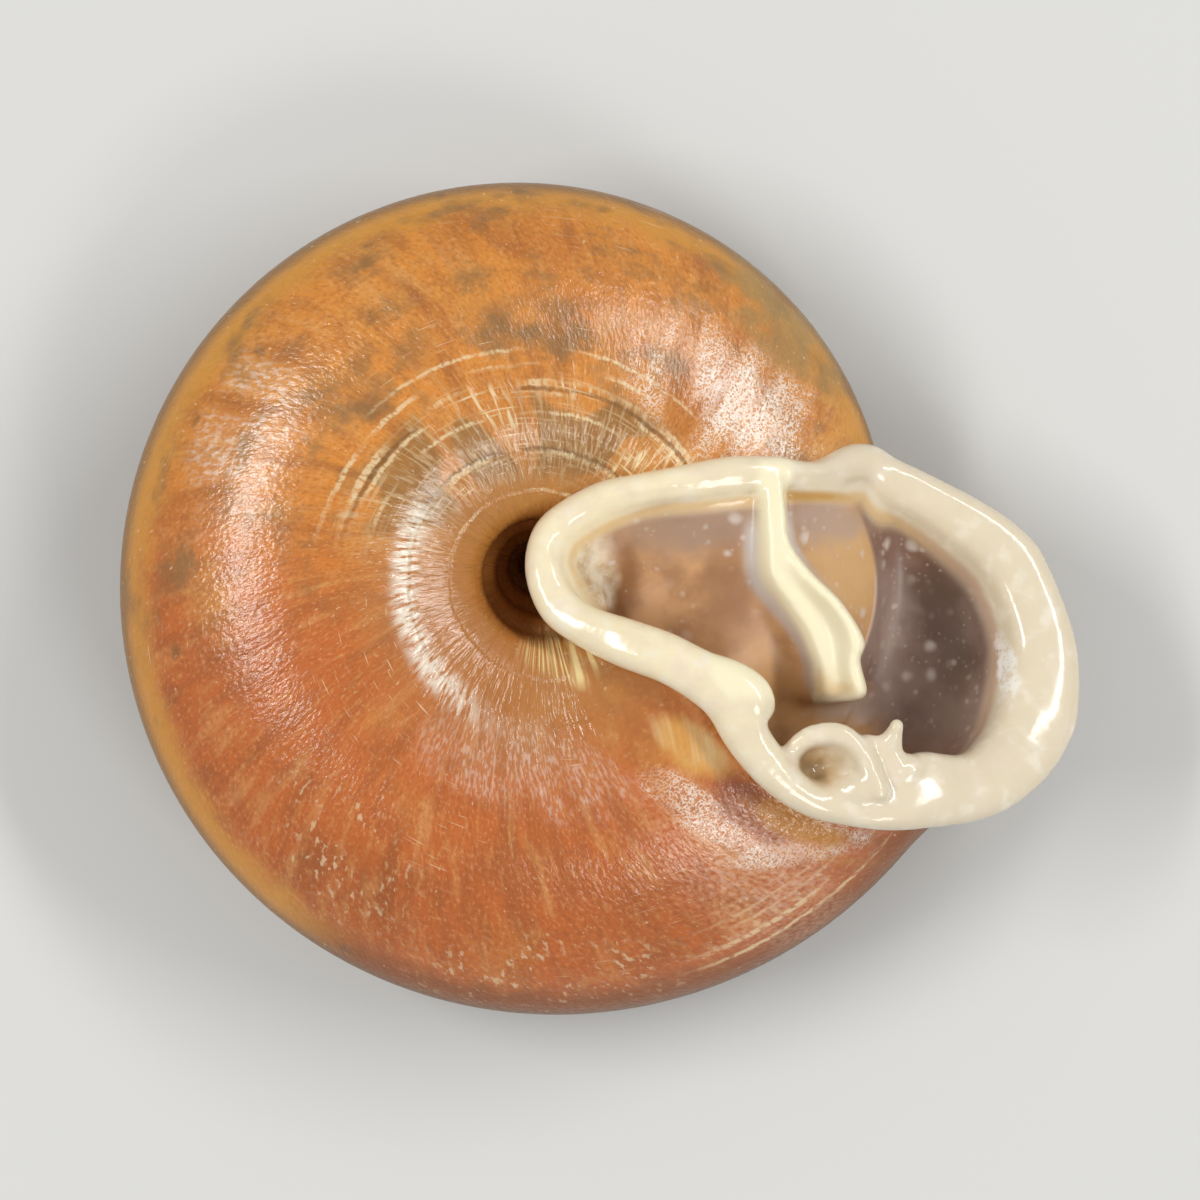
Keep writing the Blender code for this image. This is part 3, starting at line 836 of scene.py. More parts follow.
def smoothMouth(points, edges, rowOf, grid, gap, tooth):
    # the wall inside the lip is smoothed into one glazed slope
    parietal = (points[:, 1] > 0.6) & (points[:, 0] < 16.0) & (rowOf < faceRow + 7)
    slope = np.where(parietal, 1.0, np.clip(gap / 0.4, 0, 1) * (rowOf < faceRow + 2))
    slope = relax(slope * np.clip(1.0 - tooth * 2.0, 0, 1), edges, 3)
    points = relaxWhere(points, edges, slope, 60)
    # on its outer side the lip rolls inward without a corner
    _, corner = nearestOf(grid[:, faceRow + 1:faceRow + 7], points)
    corner = np.clip(1.3 - corner / 0.9, 0, 1) * np.clip((points[:, 0] - 16.5) / 2.5, 0, 1) * (1.0 - tooth)
    points = relaxWhere(points, edges, relax(corner, edges, 4), 60)
    # the cup's floor and sides run together
    cup = np.clip(1.6 - np.linalg.norm((points[:, :2] - [15.3, -10.0]) / [2.2, 1.7], axis=1), 0, 1)
    cup = np.clip(cup * 1.6, 0, 1) * (points[:, 2] < 7.2)
    points = relaxWhere(points, edges, cup, 14)
    return relax(points, edges, 2)


def strayFaces(work):
    # every face that isn't joined to the largest stretch of skin
    islands = []
    seen = set()
    for start in work.faces:
        if start.index in seen:
            continue
        seen.add(start.index)
        island = [start]
        for face in island:
            for edge in face.edges:
                for beside in edge.link_faces:
                    if beside.index not in seen:
                        seen.add(beside.index)
                        island.append(beside)
        islands.append(island)
    largest = max(islands, key=len)
    return [face for island in islands if island is not largest for face in island]


def dropHidden(data, hidden):
    # the back of the lip lies inside the shell's skin, so its faces go
    work = bmesh.new()
    work.from_mesh(data)
    gone = [f for f in work.faces if all(hidden[v.index] for v in f.verts)]
    bmesh.ops.delete(work, geom=gone, context="FACES")
    work.faces.index_update()
    bmesh.ops.delete(work, geom=strayFaces(work), context="FACES")
    work.to_mesh(data)
    work.free()


def growMouth(material):
    made, grid = fuseMouth()
    data = made.data
    points = readPoints(data) / mm
    flat = np.zeros(len(data.edges) * 2, int)
    data.edges.foreach_get("vertices", flat)
    edges = flat.reshape(-1, 2)
    points = relax(points, edges, 5)
    pressDent(points)
    # which row of the grid each point lies nearest to, and how far from the lip's inner edge it is
    nearest, _ = nearestOf(grid, points)
    rowOf = np.tile(np.arange(grid.shape[1]), grid.shape[0])[nearest]
    _, gap = nearestOf(grid[:, faceRow - 1:faceRow + 1], points)
    gap = relax(np.where(rowOf > faceRow, 0.0, gap), edges, 6)
    tooth = relax(toothCover(points), edges, 4)
    points = smoothMouth(points, edges, rowOf, grid, gap, tooth)
    writeValues(data, "lipGap", gap)
    writeValues(data, "tooth", tooth)
    writePoints(data, points * mm)
    dropHidden(data, rowOf > faceRow + lip["faceRows"] + lip["backRowsKept"])
    data.materials.clear()
    data.materials.append(material)
    print("mouth fused", len(data.polygons))
    return made


# the hollow's wall: steps inwards in turns, and where it crosses from under the fused wall to over it
hollowWall = {
    "columns": 150,
    "steps": np.concatenate([np.linspace(-0.03, 0.02, 14), np.linspace(0.03, 0.13, 24)]),
    "crossAt": -0.025,
    "crossTurns": 0.02,
    "offset": 0.07,
}


def growHollow(material):
    # the wall deeper inside the last whorl, seen through the mouth
    places = np.linspace(0.0, roundEnd, hollowWall["columns"], endpoint=False)
    last = leaving(places)[0] - wallDepth(places)
    lying = overPrevious(places)
    rows = []
    for step in hollowWall["steps"]:
        crossed = np.clip((step - hollowWall["crossAt"]) / hollowWall["crossTurns"], 0.0, 1.0)
        lift = crossed * 2.0 * hollowWall["offset"] - hollowWall["offset"]
        wall = lip["wall"] + lift
        over = lip["overWall"] - lift
        row = np.array([coilPoint(t - step, p, wall, over) for t, p in zip(last, places)])
        row[lying] = aboveWhorl(row, lip["glaze"] + lift)[lying]
        rows.append(row)
    points = lean(np.concatenate(rows))
    made = meshObject("hollowWall", points * mm, gridFaces(len(rows), len(places), 0, True))
    # it lies well away from the lip's edge everywhere
    writeValues(made.data, "lipGap", np.full(len(points), 9.0))
    writeValues(made.data, "tooth", toothCover(points))
    made.data.materials.append(material)
    print("hollow grown", len(made.data.polygons))
    return made


def settle(pieces):
    # every piece stands where the shell rests: box centre over the origin, lowest point on the floor
    every = np.concatenate([readPoints(p.data) for p in pieces])
    low = every.min(axis=0)
    high = every.max(axis=0)
    shift = np.array([0.5 * (low[0] + high[0]), 0.5 * (low[1] + high[1]), low[2]])
    for p in pieces:
        writePoints(p.data, readPoints(p.data) - shift)
        p.data.shade_smooth()
    print("settled by", shift / mm)


def hold(tree, maps, mask):
    # a mask holds back a coat of colour: a share, a map, a map with the values where it starts and is full,
    # an oval (x, y, half-axes, turn, edge), or a list of how masks are joined and then the masks themselves
    if isinstance(mask, float):
        return mask
    if isinstance(mask, str):
        return maps[mask]
    if isinstance(mask, list):
        return joined(tree, maps, *mask)
    if isinstance(mask[0], str):
        name, *limits = mask
        return add(tree, rangeNode, maps[name], *limits, interpolation_type="SMOOTHSTEP")
    return oval(tree, maps, *mask)


def joined(tree, maps, operation, *masks):
    total = None
    for mask in masks:
        held = hold(tree, maps, mask)
        total = held if total is None else add(tree, operation, total, held)
    return total


def oval(tree, maps, x, y, reachX, reachY, turned, edge=None):
    # 1 inside a soft oval in plan, in millimetres and degrees
    edge = maps["edge"] if edge is None else edge
    moved = add(tree, vectorNode, maps["plan"], (x, y, 0.0), operation="SUBTRACT")
    moved = add(tree, turnNode, {"Vector": moved, "Angle": -math.radians(turned)}, rotation_type="Z_AXIS")
    moved = add(tree, vectorNode, moved, (1.0 / reachX, 1.0 / reachY, 0.0), operation="MULTIPLY")
    away = add(tree, vectorNode, moved, out="Value", operation="LENGTH")
    away = add(tree, "ADD", away, maps["fray"])
    return add(tree, rangeNode, away, 1.0 + edge, 1.0 - edge, interpolation_type="SMOOTHSTEP")


def paint(tree, maps, look, under, *coats):
    # coats of colour over one another, each held back by all its masks together
    colour = look.get(under) or maps[under]
    for over, *masks in coats:
        weight = joined(tree, maps, "MULTIPLY", *masks)
        over = look.get(over) or maps[over]
        colour = add(tree, "ShaderNodeMix", {0: weight, 6: colour, 7: over}, out=2, data_type="RGBA")
    return colour


def startMaterial(name, attributes, clouds):
    # a material with its first maps: attributes, place in millimetres, and noise in space
    made = bpy.data.materials.new(name)
    made.use_nodes = True
    tree = made.node_tree
    maps = {}
    for attribute in attributes:
        maps[attribute] = add(tree, "ShaderNodeAttribute", out="Fac", attribute_name=attribute)
    place = add(tree, "ShaderNodeTexCoord", out="Object")
    maps["spot"] = add(tree, vectorNode, {0: place, 3: 1000.0}, operation="SCALE")
    for axis in ("X", "Y", "Z"):
        maps[axis.lower()] = add(tree, "ShaderNodeSeparateXYZ", maps["spot"], out=axis)
    for cloud, settings in clouds.items():
        maps[cloud] = add(tree, noiseNode, dict(settings, Vector=maps["spot"]))
    return made, tree, maps


# the skin's colours
skinLook = {
    "upper": "#DA8A34",
    "lower": "#C46628",
    "rust": "#AC5C26",
    "honey": "#D39A48",
    "growthBrown": "#9A5422",
    "chestnut": "#8F4E20",
    "sand": "#E3AA66",
    "sienna": "#9C5426",
    "straw": "#E0A860",
    "grainDark": "#8E4C20",
    "grainPale": "#E8B478",
    "rim": "#D29232",
    "rimLow": "#84460F",
    "rimEdge": "#6C4A1C",
    "umbilicus": "#AC7438",
    "hole": "#DDA066",
    "smudge": "#8A6438",
    "spot": "#74502A",
    "olive": "#80602F",
    "stepShade": "#6E4620",
    "flake": "#EFD6A6",
    "ivoryPolish": "#F4EAD6",
    "weathered": "#9A8452",
    "bloom": "#DCC6A6",
    "silver": "#FCF2E4",
    "stain": "#84380C",
    "yellowSpot": "#C08026",
    "yellowPatch": "#D6A04C",
    "threadPale": "#EBD3A0",
    "fibrePale": "#F0D898",
    "frost": "#E2B99C",
    "scratch": "#EBCFA4",
    "gloss": "#FFF0DC",
}

# noise in space, its scale in cells per millimetre
skinClouds = {
    "cloud": {"Scale": 0.11, "Detail": 3.0},
    "mottle": {"Scale": 0.5, "Detail": 4.0},
    "maze": {"Scale": 5.0, "Detail": 1.0},
    "scratchZone": {"Scale": 0.16, "Detail": 2.0, "Distortion": 0.4},
}

# noise drawn out along the growth lines: cells per turn, cells across the whorl, detail, seed
growthLines = {
    "streak": (45.0, 6.0, 2.0, 0.0),
    "darkStreak": (110.0, 9.0, 3.0, 21.0),
    "paleStreak": (95.0, 8.0, 3.0, 22.0),
    "fineStreak": (230.0, 26.0, 4.0, 3.0),
    "grain": (520.0, 150.0, 2.0, 11.0),
    "ragged": (170.0, 50.0, 3.0, 14.0),
    "sway": (14.0, 2.0, 2.0, 4.0),
    "panel": (13.0, 5.0, 1.0, 6.0),
    "rungs": (230.0, 24.0, 2.0, 9.0),
    "threads": (20.0, 210.0, 2.0, 10.0),
    "broken": (16.0, 30.0, 2.0, 5.0),
    "frayed": (330.0, 90.0, 2.0, 17.0),
    "crazing": (200.0, 30.0, 4.0, 15.0),
    "crests": (430.0, 80.0, 3.0, 24.0),
    "threadsOut": (240.0, 4.0, 3.0, 18.0),
    "fibres": (150.0, 5.0, 3.0, 16.0),
    "scratches": (42.0, 420.0, 1.0, 2.0),
    "crumbs": (420.0, 100.0, 2.0, 12.0),
    "chips": (300.0, 60.0, 3.0, 23.0),
    "waves": (70.0, 6.0, 2.0, 8.0),
    "innerWrinkles": (190.0, 34.0, 3.0, 1.0),
    "outerWrinkles": (440.0, 105.0, 3.0, 2.0),
}

# distances along a slant in plan, by their shares of x and y
slants = {
    "lowSide": (0.25, 1.0),
    "upperSide": (0.35, 1.0),
    "rimSide": (-0.5, 1.0),
    "leftSide": (-1.0, -0.2),
}

# thin lines that run along the whorl: how soft their edge is, then place round it, half-width and strength
spiralLines = {
    "spirals": (
        0.003, (0.589, 0.0008, 1.0), (0.611, 0.0016, 1.0), (0.635, 0.0032, 1.0), (0.650, 0.0012, 1.0),
        (0.676, 0.0008, 1.0), (0.733, 0.003, 1.0), (0.79, 0.0012, 1.0),
    ),
    "steps": (0.004, (0.643, 0.001, 1.0), (0.728, 0.0014, 1.0)),
    "lowSpirals": (
        0.003, (0.4, 0.0024, 1.0), (0.376, 0.0016, 1.0), (0.424, 0.0008, 0.6), (0.44, 0.0006, 0.5),
    ),
    "lowRungs": (0.004, (0.414, 0.01, 0.6)),
    "crescent": (0.024, (0.729, 0.004, 1.0)),
}

# masks that several coats share
skinMasks = {
    "upperHalf": ("upperSide", -3.0, 2.0),
    "fraying": ("frayed", 0.38, 0.52, 0.2, 0.95),
    "wornBand": ["MULTIPLY", ("wobbled", 0.615, 0.645), ("wobbled", 0.79, 0.74), "upperHalf"],
    "hatching": ["MAXIMUM", ("rungs", 0.5, 0.64), ("threads", 0.54, 0.68)],
    "lowLines": ["MAXIMUM", "lowSpirals", ["MULTIPLY", ("rungs", 0.5, 0.64), "lowRungs"]],
    # ovals where painted highlights go: patches of painted sheen, and glints broken up by the maze
    "upperRub": [
        "MAXIMUM",
        ["MULTIPLY", (6.0, 10.6, 5.8, 3.2, -33.0), 0.55],
        (7.7, 9.9, 3.2, 2.2, -30.0),
        ["MULTIPLY", (10.4, -12.8, 3.2, 0.9, 8.0), 0.95],
        ["MULTIPLY", (5.2, -10.8, 3.4, 1.1, -35.0), 0.6],
    ],
    "rubbed": [
        "MAXIMUM",
        ["MULTIPLY", (-18.0, 8.6, 2.4, 4.6, -22.0), 0.5],
        ["MULTIPLY", (9.6, -13.4, 4.6, 2.2, 20.0), 0.35],
        ["MULTIPLY", (-4.2, -8.6, 5.2, 2.2, -20.0), 0.38],
    ],
    "mazeWall": ["MAXIMUM", ["SUBTRACT", "maze", 0.5], ["SUBTRACT", 0.5, "maze"]],
    "fleck": ["SUBTRACT", ["MULTIPLY", "upperRub", 0.1], "mazeWall"],
    "flecks": [
        "MAXIMUM",
        ["MULTIPLY", ("fleck", -0.04, 0.05), ("upperRub", 0.0, 0.4)],
        ["MULTIPLY", ("crests", 0.46, 0.62), "rubbed"],
    ],
    "below": ("around", 0.3, 0.34),
    "chipped": ["MAXIMUM", (-13.5, -13.0, 5.0, 3.4, -45.0), (-2.5, -19.2, 7.5, 1.9, 0.0)],
    "marks": [
        "MAXIMUM",
        ["MULTIPLY", ("scratches", 0.67, 0.75), ("scratchZone", 0.5, 0.62)],
        ["MULTIPLY", ("crumbs", 0.66, 0.74), ("mottle", 0.44, 0.58)],
        ["MULTIPLY", ("chips", 0.56, 0.64), ("mottle", 0.42, 0.56), "chipped"],
    ],
}

# what the skin is painted with: the first colour, then coat after coat with its masks
skinPaint = {
    # the rim turns dark brown towards the lower side, partly its own colour and partly painted shade
    "rimTone": ("rim", ("rimLow", ("rimSide", -7.0, -13.0))),
    "skin": (
        "upper",
        ("lower", ("lowSide", 4.0, -7.0)),
        ("rust", 0.5, ("cloud", 0.5, 0.72)),
        ("honey", 0.5, ("cloud", 0.5, 0.3)),
        # growth streaks and the fine grain of the wrinkles
        ("growthBrown", 0.42, ("streak", 0.5, 0.7)),
        ("chestnut", 0.34, ("darkStreak", 0.5, 0.68)),
        ("sand", 0.3, ("paleStreak", 0.54, 0.7)),
        ("sienna", 0.3, ("mottle", 0.5, 0.66)),
        ("straw", 0.22, ("fineStreak", 0.52, 0.7)),
        ("grainDark", 0.34, ("grain", 0.5, 0.3)),
        ("grainPale", 0.3, ("grain", 0.55, 0.72)),
        # the umbilicus, then the rim
        ("umbilicus", 0.7, ("around", 0.62, 0.78)),
        # the hole is painted lighter than it is, as painted light against the shade deep in the umbilicus
        ("hole", 0.9, ("around", 0.875, 0.91)),
        ("rimTone", 0.8, ("rimWave", 0.43, 0.38)),
        ("rimEdge", 0.7, ("around", 0.345, 0.305)),
        ("smudge", 0.8, ("smudges", 0.48, 0.68), ("y", -6.0, 3.0), ("around", 0.66, 0.6)),
        ("spot", 0.6, ("dots", 0.3, 0.05), ("mottle", 0.46, 0.58), ("around", 0.47, 0.41)),
        # worn panels above the umbilicus: olive ones, and ones flaked to cream cross-hatching
        ("olive", 0.6, ("panel", 0.46, 0.42), "wornBand"),
        ("flake", "hatching", ("panel", 0.5, 0.54, 0.3, 0.8), "wornBand"),
        # broken spiral lines, each with its dark step
        ("stepShade", 0.6, "steps", ("broken", 0.4, 0.5), "upperHalf"),
        ("flake", 0.75, "spirals", ("broken", 0.44, 0.6), "upperHalf", "fraying"),
        ("flake", 0.8, "lowLines", ("x", 3.5, 8.0), ("y", -8.0, -11.0), ("broken", 0.36, 0.5), "fraying"),
        # a painted highlight on the rounded edge of the umbilicus, pale and broken by a fine dark network
        ("ivoryPolish", 0.8, "crescent", ("leftSide", 6.0, 9.2), ("crazing", 0.38, 0.56)),
        # grey smudges above the umbilicus and a weathered olive stretch of the edge
        ("smudge", 0.5, (-11.2, 11.9, 3.0, 1.5, 42.0), ("mottle", 0.36, 0.54)),
        ("smudge", 0.5, (-3.0, 14.4, 4.0, 1.3, 0.0), ("mottle", 0.36, 0.54)),
        ("weathered", 0.6, (9.4, 14.4, 4.4, 1.9, -52.0), ("mottle", 0.34, 0.56)),
        # painted highlights: a pale sheen over patches of the skin, and silvery glints on the crests of its
        # finest wrinkles
        ("bloom", 0.22, ["MAXIMUM", "rubbed", "upperRub"], "below", ("streak", 0.68, 0.44)),
        ("silver", 0.7, "flecks", "below", ("streak", 0.68, 0.44)),
        # beside the lip: a dark stain, a thin yellow spot, a yellow patch that is partly a painted highlight
        # on the bump behind the lip, and fans of pale fibres
        ("stain", 0.85, (7.7, -10.7, 2.4, 1.1, -36.0), "below"),
        ("yellowSpot", 0.85, (10.2, -11.5, 2.6, 0.8, -22.0), "below"),
        ("yellowPatch", 0.7, (4.8, -7.6, 2.0, 1.1, -40.0), "below"),
        ("threadPale", 0.55, (4.5, -7.2, 1.9, 0.9, -30.0), "below", ("threadsOut", 0.36, 0.66)),
        ("fibrePale", 0.85, (-1.9, -2.9, 1.9, 1.3, -20.0), "below", ("fibres", 0.46, 0.6)),
        # a broad painted highlight, pale and pinkish, low on the right
        ("frost", 0.3, (7.5, -14.0, 6.0, 3.2, -40.0), "below", ("grain", 0.3, 0.7)),
        ("scratch", 0.6, "marks"),
    ),
}

# the skin's relief in millimetres: slow growth waves, leathery wrinkles set closer where the whorl is wide,
# and two steps down along spirals
skinRelief = [
    "ADD",
    ["MULTIPLY", "waves", 0.085],
    ["MULTIPLY", "innerWrinkles", ("around", 0.56, 0.63, 0.0, 0.085)],
    ["MULTIPLY", "outerWrinkles", ("around", 0.56, 0.63, 0.062, 0.0)],
    ("wobbled", 0.732, 0.738, 0.0, -0.06),
    ("wobbled", 0.788, 0.794, 0.0, -0.06),
]


def skinMaps(tree, maps):
    node = partial(add, tree)

    def drawn(start, count, across, detail, seed, **settings):
        along = node("MULTIPLY", maps[start], count)
        aside = node("MULTIPLY", maps["around"], across)
        spot = node(joinNode, along, aside, seed)
        return node(noiseNode, dict(settings, Vector=spot, Scale=1.0, Detail=detail))

    # growth lines sweep forward towards the periphery
    sweep = node(rangeNode, maps["around"], 0.75, 0.29, 0.0, 0.055)
    maps["line"] = node("SUBTRACT", maps["grow"], sweep)
    for name, settings in growthLines.items():
        maps[name] = drawn("line", *settings)
    maps["smudges"] = drawn("grow", 26.0, 13.0, 4.0, 7.0, Roughness=0.6)
    maps["dots"] = node("ShaderNodeTexVoronoi", {"Vector": maps["spot"], "Scale": 0.45}, out="Distance")
    for name, (x, y) in slants.items():
        maps[name] = node(vectorNode, maps["spot"], (x, y, 0.0), out="Value", operation="DOT_PRODUCT")
    maps["rimWave"] = node("MULTIPLY_ADD", maps["mottle"], 0.06, maps["around"])
    # place round the whorl, wavering as the spiral lines do
    wobbled = node("SUBTRACT", maps["around"], 0.011)
    wobbled = node("MULTIPLY_ADD", maps["sway"], 0.014, wobbled)
    maps["wobbled"] = node("MULTIPLY_ADD", maps["ragged"], 0.008, wobbled)
    for name, (edge, *rows) in spiralLines.items():
        maps[name] = 0.0
        for centre, half, strength in rows:
            away = node("SUBTRACT", maps["wobbled"], centre)
            away = node("ABSOLUTE", away)
            limits = (half + edge, half, 0.0, strength)
            one = node(rangeNode, away, *limits, interpolation_type="SMOOTHSTEP")
            maps[name] = node("MAXIMUM", maps[name], one)
    # an oval on the skin has a ragged edge
    maps["plan"] = maps["spot"]
    maps["edge"] = 0.35
    maps["fray"] = node("MULTIPLY_ADD", maps["mottle"], 0.9, -0.45)
    for name, mask in skinMasks.items():
        maps[name] = hold(tree, maps, mask)


def periostracum():
    # thin horny outer layer, wrinkled along its growth lines: warm brown with a silky broken gloss
    made, tree, maps = startMaterial("periostracum", ("grow", "around"), skinClouds)
    skinMaps(tree, maps)
    for name, coats in skinPaint.items():
        maps[name] = paint(tree, maps, skinLook, *coats)
    height = hold(tree, maps, skinRelief)
    relief = add(tree, "ShaderNodeBump", {"Strength": 1.0, "Distance": mm, "Height": height})
    fill(tree, tree.nodes["Principled BSDF"], {
        "Base Color": maps["skin"],
        "Normal": relief,
        "Coat Normal": relief,
        "Roughness": add(tree, rangeNode, maps["outerWrinkles"], 0.3, 0.7, 0.28, 0.42),
        "Coat Weight": add(tree, rangeNode, maps["around"], 0.32, 0.44, 0.05, 0.85),
        "IOR": 1.5,
        "Specular Tint": skinLook["gloss"],
        "Specular IOR Level": 0.3,
        "Coat Roughness": 0.16,
        "Coat IOR": 1.6,
    })
    return made


# the mouth's colours: the ivory lip and teeth, the glazed wall inside it and the hollow beyond
mouthLook = {
    "ivory": "#F7E8C3",
    "ivoryOuter": "#E5D7BB",
    "ivoryRosy": "#EDDCCB",
    "ivoryDull": "#E2D2B4",
    "ivoryMilk": "#FBF4E4",
    "tooth": "#FBEFCB",
    "fringe": "#DDB068",
    "fringeOuter": "#B98C70",
    "bluish": "#CFC7C0",
    "haze": "#A58873",
    "brown": "#AD7E55",
    "brownLight": "#CE9C6C",
    "brownLow": "#E9B77E",
    "brownDeep": "#976A46",
    "brownCorner": "#8A5A34",
    "ochreWall": "#DBB07A",
    "foldLight": "#D9C6BC",
    "cavity": "#80655A",
    "cavityLight": "#8F7568",
    "cavityWarm": "#8A5F42",
    "cavityDark": "#5C4439",
    "veil": "#B39B8E",
    "veilLow": "#D2BFAC",
    "pearl": "#ECE0C6",
    "pearlDark": "#C3A678",
    "pearlThread": "#F2E4BC",
    "amber": "#C28E3C",
    "cup": "#BF9A66",
    "cupDark": "#7F5F36",
    "speck": "#DCCFC4",
    "chalk": "#FFFDF6",
}

# noise in space, its scale in cells per millimetre
mouthClouds = {
    "cloud": {"Scale": 0.5, "Detail": 4.0},
    "milk": {"Scale": 0.8, "Detail": 3.0, "Roughness": 0.5},
    "craze": {"Scale": 3.2, "Detail": 4.0, "Roughness": 0.7},
    "ripple": {"Scale": 0.9, "Detail": 2.0},
    "speckCloud": {"Scale": 0.3, "Detail": 1.0},
}

# bubbles in the glaze: cells per millimetre, radius as a share of a cell, share of cells left empty, strength
bubbleSizes = (
    (0.85, 0.36, 0.3, 1.0),
    (1.6, 0.34, 0.3, 0.75),
    (2.9, 0.3, 0.5, 0.5),
)

mouthMasks = {
    "foldLine": ["MULTIPLY", ("foldGap", 0.14, 0.03), ("y", -4.0, -2.6), ("y", 2.2, 0.4)],
    "speckZone": ["MAXIMUM", ("speckCloud", 0.4, 0.64), ["MULTIPLY", (17.6, -5.0, 3.6, 3.6, 30.0), 0.7]],
    "fringeBand": ["SUBTRACT", ("fade", 0.15, 0.55), ("fade", 0.6, 1.1)],
    "onEdge": ["MAXIMUM", ("y", -2.0, 2.0), ("x", 14.0, 18.0)],
}

# what the mouth is painted with: the first colour, then coat after coat with its masks
mouthPaint = {
    "pearlTone": (
        "pearlDark",
        ("pearl", ("milk", 0.35, 0.68)),
        ("pearlThread", 0.6, ("threadGap", 0.03, 0.0)),
    ),
    "hollowTone": (
        "cavity",
        ("cavityLight", ("cloud", 0.35, 0.62)),
        ("cavityWarm", 0.6, (16.9, 2.9, 1.9, 2.3, 40.0)),
        ("cavityDark", 0.9, (18.1, -0.9, 1.5, 3.2, 16.0)),
        ("veil", 0.7, (15.3, -1.8, 0.9, 3.4, -6.0, 0.9)),
        ("veil", 0.5, (18.8, -6.6, 2.2, 1.6, 30.0)),
    ),
    "insideTone": (
        "brown",
        ("brownLight", ("cloud", 0.3, 0.65)),
        ("haze", 0.85, (5.4, 4.0, 4.6, 1.5, 6.0)),
        ("brownDeep", 0.7, (6.7, 0.4, 1.4, 2.4, 0.0)),
        # painted shade in the corner right of the pearly pocket
        ("brownCorner", 0.75, (1.2, 0.6, 0.9, 2.2, -8.0)),
        ("pearlTone", 0.85, (-0.9, 1.2, 1.5, 2.4, 0.0, 0.35)),
        # painted light: patches under the lamella's end are lightened against the shade of the lamella and
        # the knob; the grey one is partly the glaze's own grey
        ("brownLow", 0.9, (10.4, -4.7, 3.4, 1.9, -15.0)),
        ("veilLow", 0.8, (13.1, -5.5, 1.7, 0.8, 0.0)),
        ("ochreWall", 0.85, (13.0, 1.6, 2.2, 3.4, 8.0)),
        ("veil", 0.7, (11.9, 4.1, 2.2, 1.2, -8.0)),
        # the previous whorl ends in a curved fold; beyond it the hollow runs back into the shell
        ("hollowTone", ("fold", -0.12, 0.2), (17.2, -1.6, 4.6, 7.6, 14.0, 0.3)),
        # a painted highlight along the fold's ridge line
        ("foldLight", 0.55, "foldLine"),
        ("speck", 0.8, "bubbles", "speckZone", ("foldGap", 0.1, 0.7)),
    ),
    "ivoryTone": (
        "ivory",
        ("ivoryOuter", ("x", 2.0, 13.0)),
        ("ivoryRosy", 0.4, ("cloud", 0.5, 0.7)),
        ("ivoryDull", 0.35, ("milk", 0.55, 0.3)),
        ("ivoryMilk", 0.4, ("milk", 0.52, 0.72)),
    ),
    "edgeTone": ("fringe", ("fringeOuter", ("x", 15.0, 19.0))),
    "lamellaTone": ("tooth", ("fringe", 0.5, (12.0, -4.5, 1.1, 0.6, 0.0))),
    "toothTone": ("ivoryTone", ("lamellaTone", ("y", -5.5, -4.5))),
    # the cup's hollow, with painted shade on its lower left side
    "cupTone": ("cup", ("cupDark", (10.6, -8.5, 0.9, 0.6, -33.0, 0.8))),
    "enamel": (
        "ivoryTone",
        ("insideTone", ("fade", 0.3, 1.25)),
        ("edgeTone", 0.55, "fringeBand", "onEdge"),
        ("amber", 0.75, "fringeBand", (11.0, 5.4, 1.9, 1.2, -12.0)),
        # the lamella's left flank: a bluish tint with painted shade
        ("bluish", 0.8, ("tooth", 0.0, 0.45), ("lipGap", 0.8, 2.4)),
        ("toothTone", ("tooth", 0.35, 0.9)),
        ("cupTone", 0.9, (11.0, -8.4, 1.35, 1.0, -33.0, 0.75), ("z", 15.1, 14.3)),
        # a painted highlight inside the outer lip: a strip of white glints, broken up by fine noise
        ("chalk", 0.9, (21.3, -3.7, 0.26, 1.5, 6.0, 0.7), ("craze", 0.34, 0.5)),
    ),
}

# the mouth's relief in millimetres: a slow ripple, and the fold standing up as a fine line
mouthRelief = ["ADD", ["MULTIPLY", "ripple", 0.025], ["MULTIPLY", "foldLine", 0.05]]


